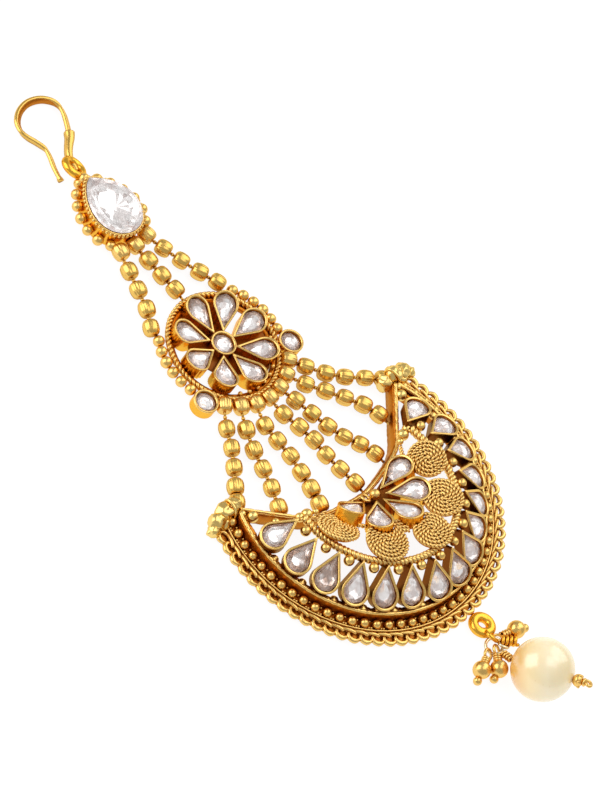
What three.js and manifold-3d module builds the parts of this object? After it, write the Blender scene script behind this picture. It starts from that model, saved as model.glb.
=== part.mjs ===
// A jhoomar, the gold jewel that an Indian bride wears pinned at the side of her hair.
// Millimetres, +Z up. It lies on its back: +Y runs along the jewel to the hook, +X across it.
// Lengths are given from a point on the jewel's middle line, next to the centre of the crescent's
// round rim. At the end the whole jewel is
// moved so that the origin is the middle of the bottom of its box.

import * as THREE from 'three';
import { mergeVertices } from 'three/addons/utils/BufferGeometryUtils.js';
import Module from 'manifold-3d';

const wasm = await Module();
wasm.setup();

const degrees = THREE.MathUtils.degToRad;

// ---------------------------------------------------------------- driving dimensions

const FLUTED_BEAD = { radius: 1.5, halfLength: 1.4, endRadius: 0.85, sides: 6 };
const THREAD_RADIUS = 0.28;
const STONE_GAP = 0.1;
const STONE_BELOW_RIM = 0.25;
const PEAR_POCKET = 1.4;
const ROUND_POCKET = 1.1;

const CRESCENT = {
  lean: degrees(2.2), // the crescent lies slightly turned under the chains
  centreY: -0.25,
  rimOuter: 28.9,
  rimNotch: 28.25,
  rimInner: 27.2,
  rimHeight: 1.7,
  scallops: 40,
  halfSweep: degrees(110),
  bandHalfSweep: degrees(109),
};

// Section of the crescent's outer band, from the rim inwards over the bead channel to the ridge.
const BAND_SECTION = [
  { radius: 27.6, height: 0.0 },
  { radius: 27.6, height: 1.0 },
  { radius: 24.4, height: 1.3 },
  { radius: 24.0, height: 3.5 },
  { radius: 22.4, height: 3.5 },
  { radius: 21.0, height: 4.1 },
  { radius: 20.7, height: 3.1 },
  { radius: 23.2, height: 0.0 },
];

// Rings of the crescent. Each has its radius and height beside the horns, and how much more it has
// at the foot of the crescent, where the setting stands highest.
const RINGS = {
  granule: { radius: 16.45, moreRadius: 1.5, height: 6.1, moreHeight: 2.0 },
  rope: { radius: 15.1, moreRadius: 1.8, height: 6.0, moreHeight: 2.1 },
};

// The row of cups, whose round ends are centred on a ring and whose tips rise inwards.
const STONE_ROW = {
  width: 4.95, length: 7.9, depth: 2.3, wall: 0.42, radius: 21.95, height: 5.85, slope: 15.1, moreSlope: 26.3,
};
// Each cup's angle from the crescent's foot, how much further out it stands, and its roll.
const CUPS = [
  { angle: -96.9, further: 0.0, roll: 0 },
  { angle: -81.8, further: 0.0, roll: 0 },
  { angle: -67.0, further: 0.0, roll: 0 },
  { angle: -52.7, further: 0.0, roll: 0 },
  { angle: -38.3, further: 0.0, roll: 0 },
  { angle: -24.2, further: 0.0, roll: 0 },
  { angle: -9.9, further: 0.5, roll: 12 },
  { angle: 3.6, further: 0.6, roll: 17 },
  { angle: 17.0, further: 0.4, roll: 16 },
  { angle: 30.5, further: 0.0, roll: 8 },
  { angle: 44.0, further: 0.0, roll: 0 },
  { angle: 57.8, further: 0.0, roll: 0 },
  { angle: 72.0, further: 0.0, roll: 0 },
  { angle: 86.0, further: -0.3, roll: -6 },
  { angle: 101.5, further: -1.8, roll: -12 },
];
const ROPE_HALF_SWEEP = degrees(97);
const GRANULE_RADIUS = 0.95;
const ROPE_RADIUS = 0.75;
const SPIRAL = { thickness: 1.1, crown: 0.3, moreRadius: 0.0, height: 6.7, moreHeight: 2.4 };

// The coiled discs, from the left one round the foot: where each lies, and how many degrees its face
// leans, towards which heading.
const SPIRALS = [
  { angle: -75.0, ringRadius: 12.5, radius: 3.85, lean: 28, heading: 43 },
  { angle: -35.5, ringRadius: 13.2, radius: 3.85, lean: 5, heading: 50 },
  { angle: 0.0, ringRadius: 13.6, radius: 3.7, lean: 10, heading: 90 },
  { angle: 34.0, ringRadius: 13.1, radius: 3.6, lean: 14, heading: 128 },
  { angle: 70.0, ringRadius: 12.5, radius: 3.55, lean: 17, heading: 167 },
];

const HALF_FLOWER = {
  centre: [0, -2.85, 5.2], ball: 0.95, width: 4.9, length: 8.0, depth: 1.9, wall: 0.42,
  footRadius: 2.3, footBottom: 2.6, footTop: 4.9,
};

// Petals of the half flower, in degrees and millimetres. Each runs out from its tip towards its heading,
// rises on the way, and is rolled about its own length.
const HALF_FLOWER_PETALS = [
  { heading: 174.5, rise: 28, roll: 29, tipRadius: 2.2, tipHeight: 4.85 },
  { heading: 216.5, rise: 25, roll: 18, tipRadius: 1.7, tipHeight: 6.4 },
  { heading: 274.0, rise: 31, roll: -6, tipRadius: 1.35, tipHeight: 6.05 },
  { heading: 323.5, rise: 20, roll: -3, tipRadius: 1.6, tipHeight: 6.0 },
  { heading: 367.0, rise: 17, roll: -30, tipRadius: 1.6, tipHeight: 5.3 },
];

// One half of the strip along the crescent's inner edge, from its middle to the horn.
const INNER_EDGE = {
  thickness: 1.1,
  height: 3.7,
  route: [
    { x: 0.0, y: -1.5 },
    { x: 5.0, y: -0.8 },
    { x: 11.6, y: 1.0 },
    { x: 15.8, y: 4.5 },
    { x: 21.4, y: 9.8 },
  ],
};

// Gold blobs that close each horn and tie the edge strip to the rope arc.
const HORN_BLOBS = [
  { x: 20.7, y: 11.4, z: 1.7, radius: 1.6 },
  { x: 23.0, y: 11.4, z: 2.0, radius: 1.9 },
  { x: 25.4, y: 10.7, z: 2.0, radius: 2.0 },
  { x: 14.2, y: 2.3, z: 4.6, radius: 1.8 },
  { x: 21.0, y: 7.4, z: 3.3, radius: 1.3 },
];

const MEDALLION = {
  centre: [0, 33.8],
  plateOuter: 10.6,
  plateInner: 9.2,
  plateHeight: 0.9,
  ropeRadius: 10.45,
  ropeThickness: 0.5,
  ropeHeight: 1.1,
};
const MEDALLION_PETAL = {
  count: 8, width: 4.7, length: 7.5, inner: 2.2, wall: 0.4, innerHeight: 1.9, outerHeight: 3.8,
};
const MEDALLION_CENTRE = { radius: 2.35, height: 2.1, wall: 0.4 };
const SIDE_STONE = { radius: 2.3, height: 2.1, wall: 0.4, x: 11.2, y: -6.5 };
const SIDE_BEADS = { count: 6, radius: 1.1, ring: 11.75, first: degrees(144.5), pitch: degrees(10.2) };
const FOOT_BEADS = { count: 7, ring: 12.2, pitch: degrees(14.6) };

const CREST = {
  foot: 58.5, width: 9.3, length: 11.8, fullness: 0.5, wall: 0.45, height: 4.1, pocket: 1.9,
  beadRadius: 1.02, beadRing: 0.75, beadHeight: 2.0, beadsPerSide: 7,
};
const CREST_FOOT_BEADS = [
  { x: -3.35, y: 57.1 },
  { x: 0.0, y: 56.7 },
  { x: 3.35, y: 57.1 },
];

const HOOK_HEIGHT = 1.5;
const HOOK_ROUTE = [
  { x: -2.3, y: 73.6, width: 0.9 },
  { x: -1.6, y: 76.0, width: 0.8 },
  { x: -0.65, y: 78.2, width: 0.8 },
  { x: -0.3, y: 79.8, width: 0.8 },
  { x: -0.85, y: 81.6, width: 0.8 },
  { x: -1.55, y: 83.3, width: 0.8 },
  { x: -1.75, y: 84.8, width: 0.8 },
  { x: -1.0, y: 86.5, width: 0.8 },
  { x: 0.9, y: 87.9, width: 0.8 },
  { x: 3.4, y: 88.45, width: 0.8 },
  { x: 5.9, y: 87.9, width: 0.8 },
  { x: 7.6, y: 86.6, width: 0.8 },
  { x: 8.25, y: 85.1, width: 0.8 },
  { x: 7.9, y: 83.4, width: 0.8 },
  { x: 6.95, y: 81.6, width: 0.8 },
  { x: 5.9, y: 79.9, width: 0.8 },
  { x: 5.4, y: 79.2, width: 1.7 },
  { x: 4.1, y: 77.7, width: 1.8 },
  { x: 3.2, y: 76.3, width: 1.6 },
  { x: 2.85, y: 74.8, width: 1.5 },
  { x: 2.85, y: 73.6, width: 1.3 },
  { x: 2.5, y: 72.7, width: 1.0 },
];
const HOOK_RING = { x: 0.35, y: 74.3, z: 1.65, radius: 1.5, thickness: 0.55, lean: degrees(45) };

// Centres of the fluted beads on each chain, from the upper end down.
const BEAD_HEIGHT = 1.5;
const UPPER_CHAINS = [
  [[-4.7, 53.5], [-5.95, 49.9], [-7.3, 46.3], [-9.25, 43.2]],
  [[0.0, 53.2], [0.0, 49.7], [0.1, 46.35]],
  [[4.15, 53.5], [5.3, 50.0], [6.6, 46.5], [8.0, 43.25]],
];
const LOWER_CHAINS = [
  [[-11.4, 21.5], [-13.3, 18.3], [-15.6, 15.4], [-18.5, 12.4]],
  [[-8.4, 19.4], [-10.1, 15.8], [-11.2, 12.3], [-12.5, 8.8], [-14.15, 5.4]],
  [[-4.8, 18.1], [-5.0, 14.7], [-5.0, 11.3], [-5.7, 7.9], [-6.4, 4.7], [-7.2, 1.7]],
  [[-0.2, 17.8], [0.5, 14.4], [1.0, 11.1], [0.8, 7.8], [1.05, 4.4], [1.5, 1.0]],
  [[3.7, 18.5], [4.5, 15.0], [5.2, 11.6], [6.3, 8.5], [7.9, 5.8], [9.0, 2.95]],
  [[7.7, 19.8], [9.9, 16.8], [12.1, 13.9], [14.2, 11.0], [15.3, 8.0]],
  [[10.2, 22.3], [12.6, 19.3], [15.2, 16.8], [18.1, 14.7]],
];

const DROP_RING = { x: 2.1, y: -31.35, z: 0.75, radius: 1.45, thickness: 0.62 };
const LINK_RING = { x: 1.5, y: -34.75, z: 0.32, radius: 1.35, thickness: 0.3 };
const PEARL = { centre: [2.0, -43.9, 5.5], radius: 5.5, hole: 0.5 };
const PEARL_PIN = { direction: [0.27, -0.84, 0.47], radius: 0.3, endBead: 1.15, loop: 0.85, wire: 0.25 };
const CLUSTER_BALLS = [
  { x: -4.75, y: -37.25, endX: -6.7, endY: -38.3, wireX: -0.9, wireY: -35.7 },
  { x: -1.85, y: -38.95, endX: -3.9, endY: -39.6, wireX: 0.4, wireY: -37.0 },
  { x: 7.45, y: -36.25, endX: 9.5, endY: -36.8, wireX: 3.4, wireY: -35.5 },
];
const CLUSTER_BALL = { radius: 1.6, endRadius: 0.75, wire: 0.4 };

// ---------------------------------------------------------------- materials

const gold = () => new THREE.MeshStandardMaterial({ color: 0xd9a441, roughness: 0.32, metalness: 1 });
const glass = () => new THREE.MeshStandardMaterial({ color: 0xe9e4e2, roughness: 0.08, metalness: 0 });
const nacre = () => new THREE.MeshStandardMaterial({ color: 0xeadfc4, roughness: 0.25, metalness: 0 });

// ---------------------------------------------------------------- solids

// A closed geometry as a solid that can be joined and cut.
function toSolid(geometry) {
  const bare = geometry.clone();
  bare.deleteAttribute('normal');
  bare.deleteAttribute('uv');
  const merged = mergeVertices(bare, 1e-4);
  const corners = [];
  for (let i = 0; i < merged.index.count; i += 3) {
    const [a, b, c] = [0, 1, 2].map((k) => merged.index.getX(i + k));
    if (a !== b && b !== c && c !== a) corners.push(a, b, c);
  }
  return new wasm.Manifold(new wasm.Mesh({
    numProp: 3,
    vertProperties: new Float32Array(merged.attributes.position.array),
    triVerts: new Uint32Array(corners),
  }));
}

function join(solids) {
  return solids.reduce((whole, solid) => whole.add(solid));
}

// A solid as the flat-faced geometry of a mesh.
function toGeometry(solid) {
  const mesh = solid.getMesh();
  const geometry = new THREE.BufferGeometry();
  geometry.setAttribute('position', new THREE.BufferAttribute(mesh.vertProperties, mesh.numProp));
  geometry.setIndex(new THREE.BufferAttribute(mesh.triVerts, 1));
  return geometry.toNonIndexed();
}

// Edges shorter than this, left where solids were joined, are smoothed away.
const SHORTEST_EDGE = 0.05;

function addMesh(parent, name, solid, material) {
  const geometry = toGeometry(solid.asOriginal().simplify(SHORTEST_EDGE));
  geometry.computeVertexNormals();
  const mesh = new THREE.Mesh(geometry, material);
  mesh.name = name;
  parent.add(mesh);
}

// ---------------------------------------------------------------- shapes

// A pear: a round end about (0, 0) and straight sides that meet in a point on +X.
function pearOutline(width, length, inset = 0) {
  const fullRadius = width / 2;
  const radius = fullRadius - inset;
  const tip = ((length - fullRadius) * radius) / fullRadius;
  const touch = Math.acos(radius / tip);
  const steps = 5;
  const outline = [new THREE.Vector2(tip, 0)];
  for (let i = 0; i <= steps; i += 1) {
    const angle = touch + ((2 * Math.PI - 2 * touch) * i) / steps;
    outline.push(new THREE.Vector2(radius * Math.cos(angle), radius * Math.sin(angle)));
  }
  return outline;
}

// A full drop with curved sides, its round foot at (0, 0) and its tip on +Y.
function dropOutline(width, length, fullness, offset, steps) {
  const half = (angle) => Math.sin(angle) * Math.sin(angle / 2) ** fullness;
  let widest = 0;
  for (let i = 1; i < 90; i += 1) widest = Math.max(widest, half(degrees(2 * i)));
  const outline = [];
  for (let i = 0; i < steps; i += 1) {
    const angle = (2 * Math.PI * (i + 0.5)) / steps;
    const side = angle > Math.PI ? -1 : 1;
    const folded = angle > Math.PI ? 2 * Math.PI - angle : angle;
    const x = (-side * (width / 2 + offset) * half(folded)) / widest;
    const y = length / 2 + (length / 2 + offset) * Math.cos(folded);
    outline.push(new THREE.Vector2(x, y));
  }
  return outline;
}

function circleOutline(radius, sides) {
  const outline = [];
  for (let i = 0; i < sides; i += 1) {
    const angle = (2 * Math.PI * i) / sides;
    outline.push(new THREE.Vector2(radius * Math.cos(angle), radius * Math.sin(angle)));
  }
  return outline;
}

function prism(outline, bottom, top) {
  const shape = new THREE.Shape(outline);
  const geometry = new THREE.ExtrudeGeometry(shape, { depth: top - bottom, bevelEnabled: false });
  return geometry.translate(0, 0, bottom);
}

// Layers of a cut stone, from its base up: how wide its outline is there and how high up it lies.
const GEM_LAYERS = [
  { width: 0.75, height: 0.0 },
  { width: 1.0, height: 0.45 },
  { width: 0.6, height: 1.0 },
];

// A cut stone on an outline, narrowed towards its middle at the base and the table.
function gem(outline, middle, bottom, top) {
  const last = GEM_LAYERS.length - 1;
  const shape = new THREE.Shape(outline);
  const geometry = new THREE.ExtrudeGeometry(shape, { depth: last, steps: last, bevelEnabled: false });
  const position = geometry.attributes.position;
  for (let i = 0; i < position.count; i += 1) {
    const layer = GEM_LAYERS[Math.round(position.getZ(i))];
    const x = middle.x + (position.getX(i) - middle.x) * layer.width;
    const y = middle.y + (position.getY(i) - middle.y) * layer.width;
    position.setXYZ(i, x, y, bottom + (top - bottom) * layer.height);
  }
  return geometry;
}

function ball(radius, detail = 0) {
  return new THREE.IcosahedronGeometry(radius, detail);
}

function torus(ring, tubeSides = 6, steps = 12) {
  return new THREE.TorusGeometry(ring.radius, ring.thickness, tubeSides, steps);
}

function tube(curve, radius, sides, steps) {
  const section = new THREE.Shape(circleOutline(radius, sides));
  return new THREE.ExtrudeGeometry(section, { steps, bevelEnabled: false, extrudePath: curve });
}

function rod(from, to, radius, sides = 6) {
  return tube(new THREE.LineCurve3(from, to), radius, sides, 1);
}

// A flat strip that stands on its edge along a route, with the width given at each point.
function ribbon(route, bottom, top) {
  const left = [];
  const right = [];
  route.forEach((point, i) => {
    const before = route[Math.max(i - 1, 0)];
    const after = route[Math.min(i + 1, route.length - 1)];
    const along = new THREE.Vector2(after.x - before.x, after.y - before.y).normalize();
    const side = new THREE.Vector2(-along.y, along.x).multiplyScalar(point.width / 2);
    left.push(new THREE.Vector2(point.x + side.x, point.y + side.y));
    right.unshift(new THREE.Vector2(point.x - side.x, point.y - side.y));
  });
  return prism([...left, ...right], bottom, top);
}

// A setting whose wall stands upright while its face slopes by rise over run along +X.
function slopeMatrix(slope) {
  return new THREE.Matrix4().set(1, 0, 0, 0, 0, 1, 0, 0, slope, 0, 1, 0, 0, 0, 0, 1);
}

// ---------------------------------------------------------------- chains

function flutedBead() {
  const { radius, halfLength, endRadius, sides } = FLUTED_BEAD;
  const profile = [
    new THREE.Vector2(0, -halfLength),
    new THREE.Vector2(endRadius, -halfLength),
    new THREE.Vector2(radius, 0),
    new THREE.Vector2(endRadius, halfLength),
    new THREE.Vector2(0, halfLength),
  ];
  return new THREE.LatheGeometry(profile, sides);
}

function turnedTo(geometry, direction) {
  const turn = new THREE.Quaternion().setFromUnitVectors(new THREE.Vector3(0, 1, 0), direction);
  return geometry.applyQuaternion(turn);
}

// Beads on their thread, which reaches a little past the first and the last bead.
function beadStretch(centres) {
  const points = centres.map(([x, y]) => new THREE.Vector3(x, y, BEAD_HEIGHT));
  const solids = points.map((point, i) => {
    const before = points[Math.max(i - 1, 0)];
    const after = points[Math.min(i + 1, points.length - 1)];
    const along = after.clone().sub(before).normalize();
    return toSolid(turnedTo(flutedBead(), along).translate(point.x, point.y, point.z));
  });
  for (let i = 1; i < points.length; i += 1) {
    solids.push(toSolid(rod(points[i - 1], points[i], THREAD_RADIUS, 4)));
  }
  return join(solids);
}

// ---------------------------------------------------------------- crescent

// How near an angle from the crescent's foot is to that foot: 1 there, 0 beside the horns.
const nearFoot = (angle) => Math.max(Math.cos(angle), 0);

function onRing(ring, angle) {
  const near = nearFoot(angle);
  const radius = ring.radius + ring.moreRadius * near;
  const height = ring.height + ring.moreHeight * near;
  return new THREE.Vector3(radius * Math.sin(angle), -radius * Math.cos(angle), height);
}

function sector(halfSweep, radius, height) {
  const outline = [new THREE.Vector2(0, 0)];
  const steps = 16;
  for (let i = 0; i <= steps; i += 1) {
    const angle = -halfSweep + (2 * halfSweep * i) / steps;
    outline.push(new THREE.Vector2(radius * Math.sin(angle), -radius * Math.cos(angle)));
  }
  return toSolid(prism(outline, -1, height));
}

function outerBand() {
  const section = BAND_SECTION.map(({ radius, height }) => new THREE.Vector2(radius, height));
  section.push(section[0].clone());
  const turned = new THREE.LatheGeometry(section, 48).rotateX(Math.PI / 2);
  return toSolid(turned);
}

// The rim's link wire, as a low wall with a scallop for each link.
function linkRim() {
  const { rimOuter, rimNotch, rimInner, rimHeight, scallops, halfSweep } = CRESCENT;
  const outline = [];
  const step = (2 * halfSweep) / scallops;
  const point = (radius, angle) => new THREE.Vector2(radius * Math.sin(angle), -radius * Math.cos(angle));
  for (let i = 0; i < scallops; i += 1) {
    const start = -halfSweep + step * i;
    outline.push(point(rimNotch, start), point(rimOuter, start + step / 2));
  }
  const innerSteps = 18;
  for (let i = innerSteps; i >= 0; i -= 1) {
    outline.push(point(rimInner, -halfSweep + (2 * halfSweep * i) / innerSteps));
  }
  return toSolid(prism(outline, 0, rimHeight));
}

// Places +X along the stone towards its tip and +Z out of its face.
function stonePlace(cup) {
  const angle = degrees(cup.angle);
  const slope = degrees(STONE_ROW.slope + STONE_ROW.moreSlope * nearFoot(angle));
  const radius = STONE_ROW.radius + cup.further;
  const centre = new THREE.Vector3(radius * Math.sin(angle), -radius * Math.cos(angle), STONE_ROW.height);
  const inwards = new THREE.Vector3(-Math.sin(angle), Math.cos(angle), 0);
  const towardsTip = inwards.multiplyScalar(Math.cos(slope)).setZ(Math.sin(slope));
  const across = new THREE.Vector3(-Math.cos(angle), -Math.sin(angle), 0);
  across.applyAxisAngle(towardsTip, -degrees(cup.roll));
  const faceOut = new THREE.Vector3().crossVectors(towardsTip, across).normalize();
  return new THREE.Matrix4().makeBasis(towardsTip, across, faceOut).setPosition(centre);
}

// A bezel is a solid pear from its face down, and its pocket is cut once the crescent is joined.
function bezelBody({ width, length, depth }, place) {
  return toSolid(prism(pearOutline(width, length), -depth, 0).applyMatrix4(place));
}

function bezelPocket({ width, length, wall }, place) {
  return toSolid(prism(pearOutline(width, length, wall), -PEAR_POCKET, 1).applyMatrix4(place));
}

// Where the facets of a cut stone run together.
const PEAR_MIDDLE = new THREE.Vector2(0.6, 0);
const ROUND_MIDDLE = new THREE.Vector2(0, 0);

function bezelStone({ width, length, wall }, place) {
  const outline = pearOutline(width, length, wall + STONE_GAP);
  const stone = gem(outline, PEAR_MIDDLE, STONE_GAP - PEAR_POCKET, -STONE_BELOW_RIM);
  return toSolid(stone.applyMatrix4(place));
}

function petalPlace(centre, heading, inner, length, width, innerHeight, outerHeight) {
  const slope = (innerHeight - outerHeight) / length;
  const roundCentre = inner + length - width / 2;
  const height = outerHeight + (slope * width) / 2;
  const turn = new THREE.Matrix4().makeRotationZ(degrees(heading + 180));
  const place = new THREE.Matrix4().makeTranslation(
    centre[0] + roundCentre * Math.cos(degrees(heading)),
    centre[1] + roundCentre * Math.sin(degrees(heading)),
    height,
  );
  return place.multiply(turn).multiply(slopeMatrix(slope));
}

// Places +X along the petal towards its tip and +Z out of its face.
function halfFlowerPlace({ heading, rise, roll, tipRadius, tipHeight }) {
  const { centre, length, width } = HALF_FLOWER;
  const outwards = new THREE.Vector3(1, 0, 0)
    .applyAxisAngle(new THREE.Vector3(0, -1, 0), degrees(rise))
    .applyAxisAngle(new THREE.Vector3(0, 0, 1), degrees(heading));
  const across = new THREE.Vector3(0, 1, 0)
    .applyAxisAngle(new THREE.Vector3(0, 0, 1), degrees(heading))
    .applyAxisAngle(outwards, degrees(roll));
  const faceOut = new THREE.Vector3().crossVectors(outwards, across);
  const tip = new THREE.Vector3(
    centre[0] + tipRadius * Math.cos(degrees(heading)),
    centre[1] + tipRadius * Math.sin(degrees(heading)),
    tipHeight,
  );
  const roundCentre = tip.addScaledVector(outwards, length - width / 2);
  return new THREE.Matrix4().makeBasis(outwards.negate(), across.negate(), faceOut).setPosition(roundCentre);
}

function ropeArc() {
  const points = [];
  const steps = 16;
  for (let i = 0; i <= steps; i += 1) {
    points.push(onRing(RINGS.rope, ROPE_HALF_SWEEP * ((2 * i) / steps - 1)));
  }
  return toSolid(tube(new THREE.CatmullRomCurve3(points), ROPE_RADIUS, 5, 22));
}

function spiralDisc({ angle, ringRadius, radius, lean, heading }) {
  const centre = onRing({ ...SPIRAL, radius: ringRadius }, degrees(angle));
  const faceOut = new THREE.Vector3(
    Math.sin(degrees(lean)) * Math.cos(degrees(heading)),
    Math.sin(degrees(lean)) * Math.sin(degrees(heading)),
    Math.cos(degrees(lean)),
  );
  const disc = new THREE.LatheGeometry([
    new THREE.Vector2(0, -SPIRAL.thickness),
    new THREE.Vector2(radius, -SPIRAL.thickness),
    new THREE.Vector2(radius, -SPIRAL.thickness / 3),
    new THREE.Vector2(0, SPIRAL.crown),
  ], 12);
  return toSolid(turnedTo(disc, faceOut).translate(centre.x, centre.y, centre.z));
}

function innerEdge() {
  const { thickness, height, route } = INNER_EDGE;
  const half = route.map(({ x, y }) => ({ x, y, width: thickness }));
  const mirrored = half.slice(1).reverse().map((point) => ({ ...point, x: -point.x }));
  return toSolid(ribbon([...mirrored, ...half], 0, height));
}

function blobs(side) {
  return HORN_BLOBS.map(({ x, y, z, radius }) => (
    toSolid(ball(radius).translate(side * x, y, z))
  ));
}

function crescentSolid() {
  const granules = CUPS.slice(1).map((cup, index) => {
    const angle = degrees((CUPS[index].angle + cup.angle) / 2);
    const place = onRing(RINGS.granule, angle);
    return toSolid(ball(GRANULE_RADIUS).translate(place.x, place.y, place.z));
  });
  const [x, y, z] = HALF_FLOWER.centre;
  const flowerFoot = prism(circleOutline(HALF_FLOWER.footRadius, 8), HALF_FLOWER.footBottom, HALF_FLOWER.footTop);
  const metal = join([
    outerBand().intersect(sector(CRESCENT.bandHalfSweep, 40, 12)),
    linkRim(),
    ...CUPS.map((cup) => bezelBody(STONE_ROW, stonePlace(cup))),
    ...granules,
    ropeArc(),
    ...SPIRALS.map(spiralDisc),
    ...HALF_FLOWER_PETALS.map((petal) => bezelBody(HALF_FLOWER, halfFlowerPlace(petal))),
    toSolid(ball(HALF_FLOWER.ball, 1).translate(x, y, z)),
    toSolid(flowerFoot.translate(x, y, 0)),
    innerEdge(),
    ...blobs(1),
    ...blobs(-1),
  ]);
  return metal.subtract(join([
    ...CUPS.map((cup) => bezelPocket(STONE_ROW, stonePlace(cup))),
    ...HALF_FLOWER_PETALS.map((petal) => bezelPocket(HALF_FLOWER, halfFlowerPlace(petal))),
  ]));
}

function buildCrescent() {
  const crescent = new THREE.Group();
  addMesh(crescent, 'crescent', crescentSolid(), gold());
  CUPS.forEach((cup, index) => {
    addMesh(crescent, `crescent_stone_${index + 1}`, bezelStone(STONE_ROW, stonePlace(cup)), glass());
  });
  HALF_FLOWER_PETALS.forEach((petal, index) => {
    addMesh(crescent, `half_flower_stone_${index + 1}`, bezelStone(HALF_FLOWER, halfFlowerPlace(petal)), glass());
  });
  crescent.position.y = CRESCENT.centreY;
  crescent.rotation.z = CRESCENT.lean;
  return crescent;
}

// ---------------------------------------------------------------- medallion

function medallionPlate() {
  const { plateOuter, plateInner, plateHeight } = MEDALLION;
  const disc = toSolid(prism(circleOutline(plateOuter, 24), 0, plateHeight));
  return disc.subtract(toSolid(prism(circleOutline(plateInner, 20), -1, plateHeight + 1)));
}

function petalSpot(index) {
  const { inner, length, width, innerHeight, outerHeight, count } = MEDALLION_PETAL;
  return petalPlace([0, 0], (360 / count) * index, inner, length, width, innerHeight, outerHeight);
}

function medallionPetal(index) {
  const { outerHeight, width, length } = MEDALLION_PETAL;
  const upright = toSolid(prism(pearOutline(width, length), -2 * outerHeight, 0).applyMatrix4(petalSpot(index)));
  const aboveFloor = toSolid(prism(circleOutline(MEDALLION.plateOuter * 1.3, 8), 0, 2 * outerHeight));
  return upright.intersect(aboveFloor).subtract(bezelPocket(MEDALLION_PETAL, petalSpot(index)));
}

function roundSetting({ radius, height, wall }, x, y) {
  const body = toSolid(prism(circleOutline(radius, 10), 0, height));
  const pocket = toSolid(prism(circleOutline(radius - wall, 10), height - ROUND_POCKET, height + 1));
  return body.subtract(pocket).translate([x, y, 0]);
}

function roundStone({ radius, height, wall }, x, y) {
  const outline = circleOutline(radius - wall - STONE_GAP, 10);
  const stone = gem(outline, ROUND_MIDDLE, height - ROUND_POCKET + STONE_GAP, height - STONE_BELOW_RIM);
  return toSolid(stone).translate([x, y, 0]);
}

function ringPlace(radius, angle) {
  return [radius * Math.cos(angle), radius * Math.sin(angle)];
}

function medallionSolid() {
  const rope = new THREE.TorusGeometry(MEDALLION.ropeRadius, MEDALLION.ropeThickness, 4, 24);
  const smallBeads = [];
  for (let i = 0; i < SIDE_BEADS.count; i += 1) {
    const [x, y] = ringPlace(SIDE_BEADS.ring, SIDE_BEADS.first + i * SIDE_BEADS.pitch);
    [1, -1].forEach((side) => {
      smallBeads.push(toSolid(ball(SIDE_BEADS.radius).translate(side * x, y, SIDE_BEADS.radius)));
    });
  }
  const footBeads = [];
  for (let i = 0; i < FOOT_BEADS.count; i += 1) {
    const angle = degrees(270) + (i - (FOOT_BEADS.count - 1) / 2) * FOOT_BEADS.pitch;
    const [x, y] = ringPlace(FOOT_BEADS.ring, angle);
    footBeads.push(toSolid(flutedBead().rotateZ(angle + Math.PI / 2).translate(x, y, BEAD_HEIGHT)));
  }
  return join([
    medallionPlate(),
    toSolid(rope.translate(0, 0, MEDALLION.ropeHeight)),
    ...[...Array(MEDALLION_PETAL.count).keys()].map(medallionPetal),
    roundSetting(MEDALLION_CENTRE, 0, 0),
    roundSetting(SIDE_STONE, SIDE_STONE.x, SIDE_STONE.y),
    roundSetting(SIDE_STONE, -SIDE_STONE.x, SIDE_STONE.y),
    ...smallBeads,
    ...footBeads,
  ]);
}

function buildMedallion() {
  const medallion = new THREE.Group();
  addMesh(medallion, 'medallion', medallionSolid(), gold());
  for (let index = 0; index < MEDALLION_PETAL.count; index += 1) {
    addMesh(medallion, `medallion_stone_${index + 1}`, bezelStone(MEDALLION_PETAL, petalSpot(index)), glass());
  }
  addMesh(medallion, 'medallion_centre_stone', roundStone(MEDALLION_CENTRE, 0, 0), glass());
  addMesh(medallion, 'side_stone_right', roundStone(SIDE_STONE, SIDE_STONE.x, SIDE_STONE.y), glass());
  addMesh(medallion, 'side_stone_left', roundStone(SIDE_STONE, -SIDE_STONE.x, SIDE_STONE.y), glass());
  medallion.position.set(MEDALLION.centre[0], MEDALLION.centre[1], 0);
  return medallion;
}

// ---------------------------------------------------------------- crest

function crestSolid() {
  const { foot, width, length, fullness, wall, height, pocket, beadRadius, beadRing, beadHeight, beadsPerSide } = CREST;
  const outer = dropOutline(width, length, fullness, wall + STONE_GAP, 18);
  const inner = dropOutline(width, length, fullness, STONE_GAP, 18);
  const wallSolid = toSolid(prism(outer, 0, height)).subtract(toSolid(prism(inner, height - pocket, height + 1)));
  const beadLine = dropOutline(width, length, fullness, wall + beadRing, 48);
  const halfLine = beadLine.slice(0, 24).map(({ x, y }) => new THREE.Vector3(x, y, beadHeight));
  const spots = new THREE.CatmullRomCurve3(halfLine).getSpacedPoints(beadsPerSide).slice(0, beadsPerSide);
  const beads = spots.flatMap((spot) => [1, -1].map((side) => (
    toSolid(ball(beadRadius).translate(side * spot.x, spot.y, spot.z))
  )));
  const setBezel = join([wallSolid, ...beads]).translate([0, foot, 0]);
  const footBeads = CREST_FOOT_BEADS.map(({ x, y }) => toSolid(flutedBead().translate(x, y, BEAD_HEIGHT)));
  return join([setBezel, ...footBeads]);
}

function crestStone() {
  const { foot, width, length, fullness, height, pocket } = CREST;
  const outline = dropOutline(width, length, fullness, 0, 18);
  const middle = new THREE.Vector2(0, length * 0.42);
  return toSolid(gem(outline, middle, height - pocket + STONE_GAP, height + pocket)).translate([0, foot, 0]);
}

// ---------------------------------------------------------------- hook and drop

function ringSolid(ring, leanAxis = null) {
  const geometry = torus(ring);
  if (leanAxis) geometry.rotateY(ring.lean);
  return toSolid(geometry).translate([ring.x, ring.y, ring.z]);
}

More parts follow.
